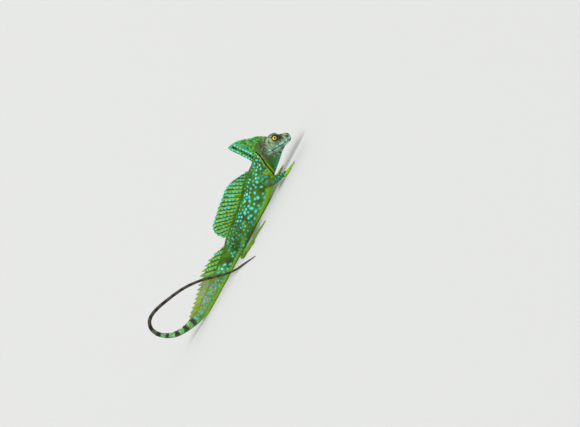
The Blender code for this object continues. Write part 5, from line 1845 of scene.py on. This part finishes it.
def scatter_tree(name, finish):
    """Puts a template on every point, standing on its outward direction and turned along its lie."""
    tree = bpy.data.node_groups.new(name, "GeometryNodeTree")
    face = tree.interface
    face.new_socket("Geometry", in_out="INPUT", socket_type="NodeSocketGeometry")
    face.new_socket("Template", in_out="INPUT", socket_type="NodeSocketObject")
    for label, start in (("Length", 1.0), ("Width", 1.0), ("Height", 1.0), ("Variation", 0.1)):
        face.new_socket(label, in_out="INPUT", socket_type="NodeSocketFloat").default_value = start
    face.new_socket("Seed", in_out="INPUT", socket_type="NodeSocketInt").default_value = SCATTER_SEED
    face.new_socket("Geometry", in_out="OUTPUT", socket_type="NodeSocketGeometry")

    def node(kind, inputs=None, **settings):
        """A node whose inputs are set to plain values or joined to the outputs given."""
        made = tree.nodes.new(kind)
        for key, value in settings.items():
            setattr(made, key, value)
        for label, value in (inputs or {}).items():
            if isinstance(value, bpy.types.NodeSocket):
                tree.links.new(value, made.inputs[label])
            else:
                made.inputs[label].default_value = value
        return made

    def named(label):
        read = node("GeometryNodeInputNamedAttribute", {"Name": label}, data_type="FLOAT_VECTOR")
        return read.outputs["Attribute"]

    source, result = node("NodeGroupInput"), node("NodeGroupOutput")
    given = source.outputs
    info = node("GeometryNodeObjectInfo", {"Object": given["Template"]})
    axes = {"Primary Axis": named("outward"), "Secondary Axis": named("lie")}
    turn = node("FunctionNodeAxesToRotation", axes, primary_axis="Z", secondary_axis="X")
    least = node("ShaderNodeMath", {0: 1.0, 1: given["Variation"]}, operation="SUBTRACT")
    most = node("ShaderNodeMath", {0: 1.0, 1: given["Variation"]}, operation="ADD")
    limits = {2: least.outputs[0], 3: most.outputs[0], "Seed": given["Seed"]}
    chance = node("FunctionNodeRandomValue", limits, data_type="FLOAT")
    sizes = node("ShaderNodeCombineXYZ", {0: given["Length"], 1: given["Width"], 2: given["Height"]})
    scaled = node("ShaderNodeVectorMath", {0: named("extent"), 1: sizes.outputs[0]}, operation="MULTIPLY")
    varying = {0: scaled.outputs[0], "Scale": chance.outputs[1]}
    varied = node("ShaderNodeVectorMath", varying, operation="SCALE")
    placing = {"Points": given["Geometry"], "Instance": info.outputs["Geometry"]}
    placing.update({"Rotation": turn.outputs[0], "Scale": varied.outputs[0]})
    copies = node("GeometryNodeInstanceOnPoints", placing)
    real = node("GeometryNodeRealizeInstances", {0: copies.outputs[0]})
    small = node("ShaderNodeVectorMath", {0: named("patch"), "Scale": PATCH}, operation="SCALE")
    spot = node("ShaderNodeVectorMath", {0: named("root_uv"), 1: small.outputs[0]}, operation="ADD")
    unwrap = {"Name": "OFBake", "Geometry": real.outputs[0], "Value": spot.outputs[0]}
    store = node("GeometryNodeStoreNamedAttribute", unwrap, data_type="FLOAT2", domain="CORNER")
    cover = node("GeometryNodeSetMaterial", {"Material": finish, 0: store.outputs[0]})
    tree.links.new(cover.outputs[0], result.inputs[0])
    return tree


def scattered(name, places, layers, tree, form, variation):
    """The template form copied onto every place, as one plain mesh in the frame's metres."""
    mesh = bpy.data.meshes.new(name + "_roots")
    mesh.from_pydata(((places["point"] + SHIFT) * MM).tolist(), [], [])
    vector_layer(mesh, "outward", places["outward"])
    vector_layer(mesh, "lie", places["lie"])
    vector_layer(mesh, "extent", places["extent"] * MM)
    vector_layer(mesh, "root_uv", places["uv"])
    colour_layers(mesh, layers)
    obj = new_object(name, mesh)
    modifier = obj.modifiers.new("Scatter", "NODES")
    modifier.node_group = tree
    values = {"Template": form, "Length": 1.0, "Width": 1.0, "Height": 1.0}
    values.update({"Variation": variation, "Seed": SCATTER_SEED})
    for item in tree.interface.items_tree:
        if item.in_out == "INPUT" and item.name in values:
            modifier[item.identifier] = values[item.name]
    result = evaluated(obj)
    bpy.data.objects.remove(obj)
    for label in ("outward", "lie", "extent", "root_uv", "patch"):
        if label in result.attributes:
            result.attributes.remove(result.attributes[label])
    return result


def skin_map(anatomy):
    """Places on an unwrap of the skin: one strip for each part, along it and round it."""
    uv = np.zeros((len(anatomy.points), 3))
    turns = (anatomy.angle + math.pi) / TURN
    uv[:, 0] = 0.01 + 0.98 * anatomy.arc / trunk.arc[-1]
    uv[:, 1] = 0.01 + 0.36 * turns
    a, across, n = anatomy.local.T
    head = anatomy.is_part("head", "pouch")
    spin = np.arctan2(n - 4, across) / TURN + 0.5
    uv[head, 0] = 0.01 + 0.5 * np.clip((a[head] + 30) / 75, 0, 1)
    uv[head, 1] = 0.40 + 0.28 * spin[head]
    for index in range(4):
        own = anatomy.part == 3 + index
        uv[own, 0] = 0.54 + 0.11 * index + 0.10 * (anatomy.limb_angle[own] + math.pi) / TURN
        uv[own, 1] = 0.40 + 0.28 * np.clip(anatomy.limb_arc[own] / 90, 0, 1)
    paw = anatomy.is_part("paw")
    if paw.any():
        points = anatomy.points[paw]
        low, high = points.min(axis=0), points.max(axis=0)
        flat = (points - low) / (high - low + TINY)
        uv[paw, 0] = 0.01 + 0.98 * flat[:, 0]
        uv[paw, 1] = 0.70 + 0.14 * flat[:, 1] + np.where(points[:, 2] > 2.2, 0.145, 0)
    return uv


def bare_places(points, faces, normals, anatomy, names, taken, size, seed):
    """Points, normals and lies for scales where the rings leave skin bare, as on a bent joint."""
    own = anatomy.is_part(*names)
    inside = faces[own[faces].all(axis=1)]
    pick, weights, found = spread_over(points, inside, 36000, np.random.default_rng(seed))
    outs = unit((normals[inside[pick]] * weights).sum(axis=1))
    known = KDTree(len(taken))
    for i, point in enumerate(taken):
        known.insert(point, i)
    known.balance()
    gaps = np.array([known.find(point)[2] for point in found])
    crest = (off_middle(found) < 1.3) & (outs[:, 2] > 0.7)
    free = (gaps > size * 0.78) & (found[:, 2] > 0.5) & (outs[:, 2] > -0.5) & ~crest
    found, outs = found[free], outs[free]
    if not len(found):
        return found, outs, outs
    kept = thinned(found, np.full(len(found), size * 0.78), seed)
    found, outs = found[kept], outs[kept]
    tubes = [trunk] if "trunk" in names else digits + palms if "paw" in names else limbs
    middles = np.concatenate([tube.points for tube in tubes])
    ways = np.concatenate([tube.forward for tube in tubes])
    nearest = np.linalg.norm(found[:, None] - middles[None], axis=2).argmin(axis=1)
    return found, outs, laid_on(ways[nearest], outs)


def even(size, stretch):
    """The same length and width of scale all along a tube."""
    return lambda arc: (size * stretch, size)


def all_roots(points, faces, anatomy):
    """Roots of the scales of every part, in rings along the body and limbs and spread over the head."""
    roots = {part: Roots() for part in ("trunk", "head", "limb", "paw")}
    ring_roots(roots["trunk"], trunk, 1.0, trunk.arc[-1] - 1.0, trunk_sizes, 17)
    for tube in limbs:
        ring_roots(roots["limb"], tube, 5.0, tube.arc[-1], even(LIMB_SCALE, 1.1), 19)
    for tube in palms:
        ring_roots(roots["paw"], tube, 0.5, tube.arc[-1], even(PAW_SCALE, 1.2), 23)
    for tube in digits:
        ring_roots(roots["paw"], tube, 2.0, tube.arc[-1] - 0.4, even(DIGIT_SCALE, 1.25), 29)
    head_roots(roots["head"], points, faces, anatomy)
    lid_roots(roots["head"])
    ridge_roots(roots["trunk"])
    return {part: found.merged() for part, found in roots.items()}


def on_skin(rows, tree, faces, normals, lowest):
    """The nearest places on the skin, their normals, and the rows near it and not under lowest."""
    places, outs, kept = [], [], []
    for i, row in enumerate(rows):
        hit, _, face, _ = tree.find_nearest(Vector(row[:3]), 2.6)
        if hit is None or hit.z < lowest:
            continue
        normal = normals[faces[face]].mean(axis=0)
        places.append(hit[:])
        outs.append(normal / (np.linalg.norm(normal) + TINY))
        kept.append(i)
    return np.array(places), np.array(outs), rows[kept]


# The parts that each group of scales covers, and the size of the scales that fill its bare skin
COVERED = {
    "trunk": (("trunk",), 1.45),
    "head": (("head", "pouch"), None),
    "limb": (("arm_l", "arm_r", "leg_l", "leg_r"), 1.4),
    "paw": (("paw",), 1.05),
}


def make_scales(skin, skin_anatomy):
    """Places and colour layers of every scale of the body, by group."""
    points, normals = vertex_array(skin), normals_of(skin)
    skin.calc_loop_triangles()
    faces = read(skin.loop_triangles, "vertices", 3, np.int32)
    tree = BVHTree.FromPolygons(points.tolist(), faces.tolist())
    made = {}
    for part, rows in all_roots(points, faces, skin_anatomy).items():
        names, filler = COVERED[part]
        places, outs, rows = on_skin(rows, tree, faces, normals, -1.0 if part == "trunk" else 0.25)
        fits = Anatomy(places).is_part(*names) & (outs[:, 2] > -0.97)
        x, z = places[:, 0], places[:, 2]
        if part == "trunk":
            upright = (outs[:, 2] > 0.85) & (off_middle(places) < 0.75)
            sail = (x > SAIL_BACK - 2) & (x < SAIL_FRONT + 2)
            fringe = (x > FRINGE_BACK) & (x < FRINGE_FRONT)
            fits &= ~(upright & (sail | fringe))
        fits &= (z > 0.5) | (outs[:, 2] > -0.3)
        places, outs, rows = places[fits], outs[fits], rows[fits]
        lies, extent = laid_on(rows[:, 3:6], outs), rows[:, 6:9]
        if part == "trunk":
            flatter = 1 - 0.5 * ramp(-outs[:, 2], 0.3, 0.8)  # under the belly
            extent = extent * np.column_stack([np.ones((len(extent), 2)), flatter])
        if filler:
            more = bare_places(points, faces, normals, skin_anatomy, names, places, filler, 53)
            places, outs, lies = (np.concatenate(pair) for pair in zip((places, outs, lies), more))
            sizes = np.tile((filler * 1.3, filler * 1.1, 0.2), (len(more[0]), 1))
            extent = np.concatenate([extent, sizes])
        anatomy = Anatomy(places)
        layers = {**markings_and_shade(anatomy), "tone": fraction(np.arange(len(places)), 1, 9)}
        roots = {"point": places, "outward": outs, "lie": lies, "extent": extent, "uv": skin_map(anatomy)}
        made[part] = (roots, layers)
    return made


def dress(skin, skin_anatomy):
    """Adds the scales as pieces of their own, each under its share of triangles."""
    finish = animal_finish("scales", 0.0, 0.35)
    leaf = scale_template()
    tree = scatter_tree("scatter_scales", finish)
    for part, (places, layers) in make_scales(skin, skin_anatomy).items():
        order = np.argsort(places["point"][:, 0], kind="stable")
        for number, rows in enumerate(np.array_split(order, int(math.ceil(len(order) / MOST_SCALES)))):
            some = [{key: value[rows] for key, value in values.items()} for values in (places, layers)]
            name = f"scales_{part}_{number + 1}"
            mesh = scattered(name, *some, tree, leaf, 0.08)
            piece(name, mesh, finish)
    bpy.data.objects.remove(leaf)


def dress_crests():
    """The three crests, each with its own scales."""
    crest = crest_finish()
    leaf = scale_template()
    tree = scatter_tree("scatter_crest_scales", crest)
    mesh, grid, fin = make_sail()
    found = fin_scales(grid, fin, (SAIL_FRONT - SAIL_BACK) / (SAIL_RAYS - 1), 1.75, 0.3)
    piece("scales_back_crest", scattered("sail_scales", *found, tree, leaf, 0.06), crest)
    piece("back_crest", place(mesh), crest, ["dorsal_crest"])
    mesh, grid, fin = make_fringe()
    found = fin_scales(grid, fin, (FRINGE_FRONT - FRINGE_BACK) / (FRINGE_RAYS - 1), 1.85, 0.5)
    piece("scales_tail_fringe", scattered("fringe_scales", *found, tree, leaf, 0.06), crest)
    piece("tail_fringe", place(mesh), crest, ["tail_crest"])
    mesh, grid = make_head_blade()
    found = blade_scales(grid, 1.5, 43)
    piece("scales_crown_crest", scattered("crown_scales", *found, tree, leaf, 0.1), crest)
    piece("crown_crest", place(mesh), crest, ["head_crest", "head_crest_front"])
    bpy.data.objects.remove(leaf)


# The solids that the skin takes the place of
FLESH = ["neck", "torso", "head", "throat_pouch", "tail_base", "tail_middle", "tail_rise", "tail_turn"]
FLESH += ["tail_return", "tail_crossing", "tail_whip"]
LIMB_PARTS = ("upper_arm", "forearm", "hand", "thigh", "shank", "foot")
FLESH += [f"{part}_{side}" for part in LIMB_PARTS for side, _ in SIDES]


def main():
    skin = make_skin()
    anatomy = Anatomy(vertex_array(skin))
    colour_layers(skin, {**markings_and_shade(anatomy), "tone": np.full(len(skin.vertices), 0.5)})
    dress(skin, anatomy)
    # The skin's 0.25 is painted shade, darkening the skin that shows between the scales
    skin_finish = animal_finish("skin", 0.25, 0.5)
    piece("skin", place(skin), skin_finish, FLESH)
    dress_crests()
    eye = eye_finish()
    piece("eye_left", make_eye(1), eye, ["eye_l"])
    piece("eye_right", make_eye(-1), eye, ["eye_r"])
    make_claws()
    make_stage()
    make_camera()


main()
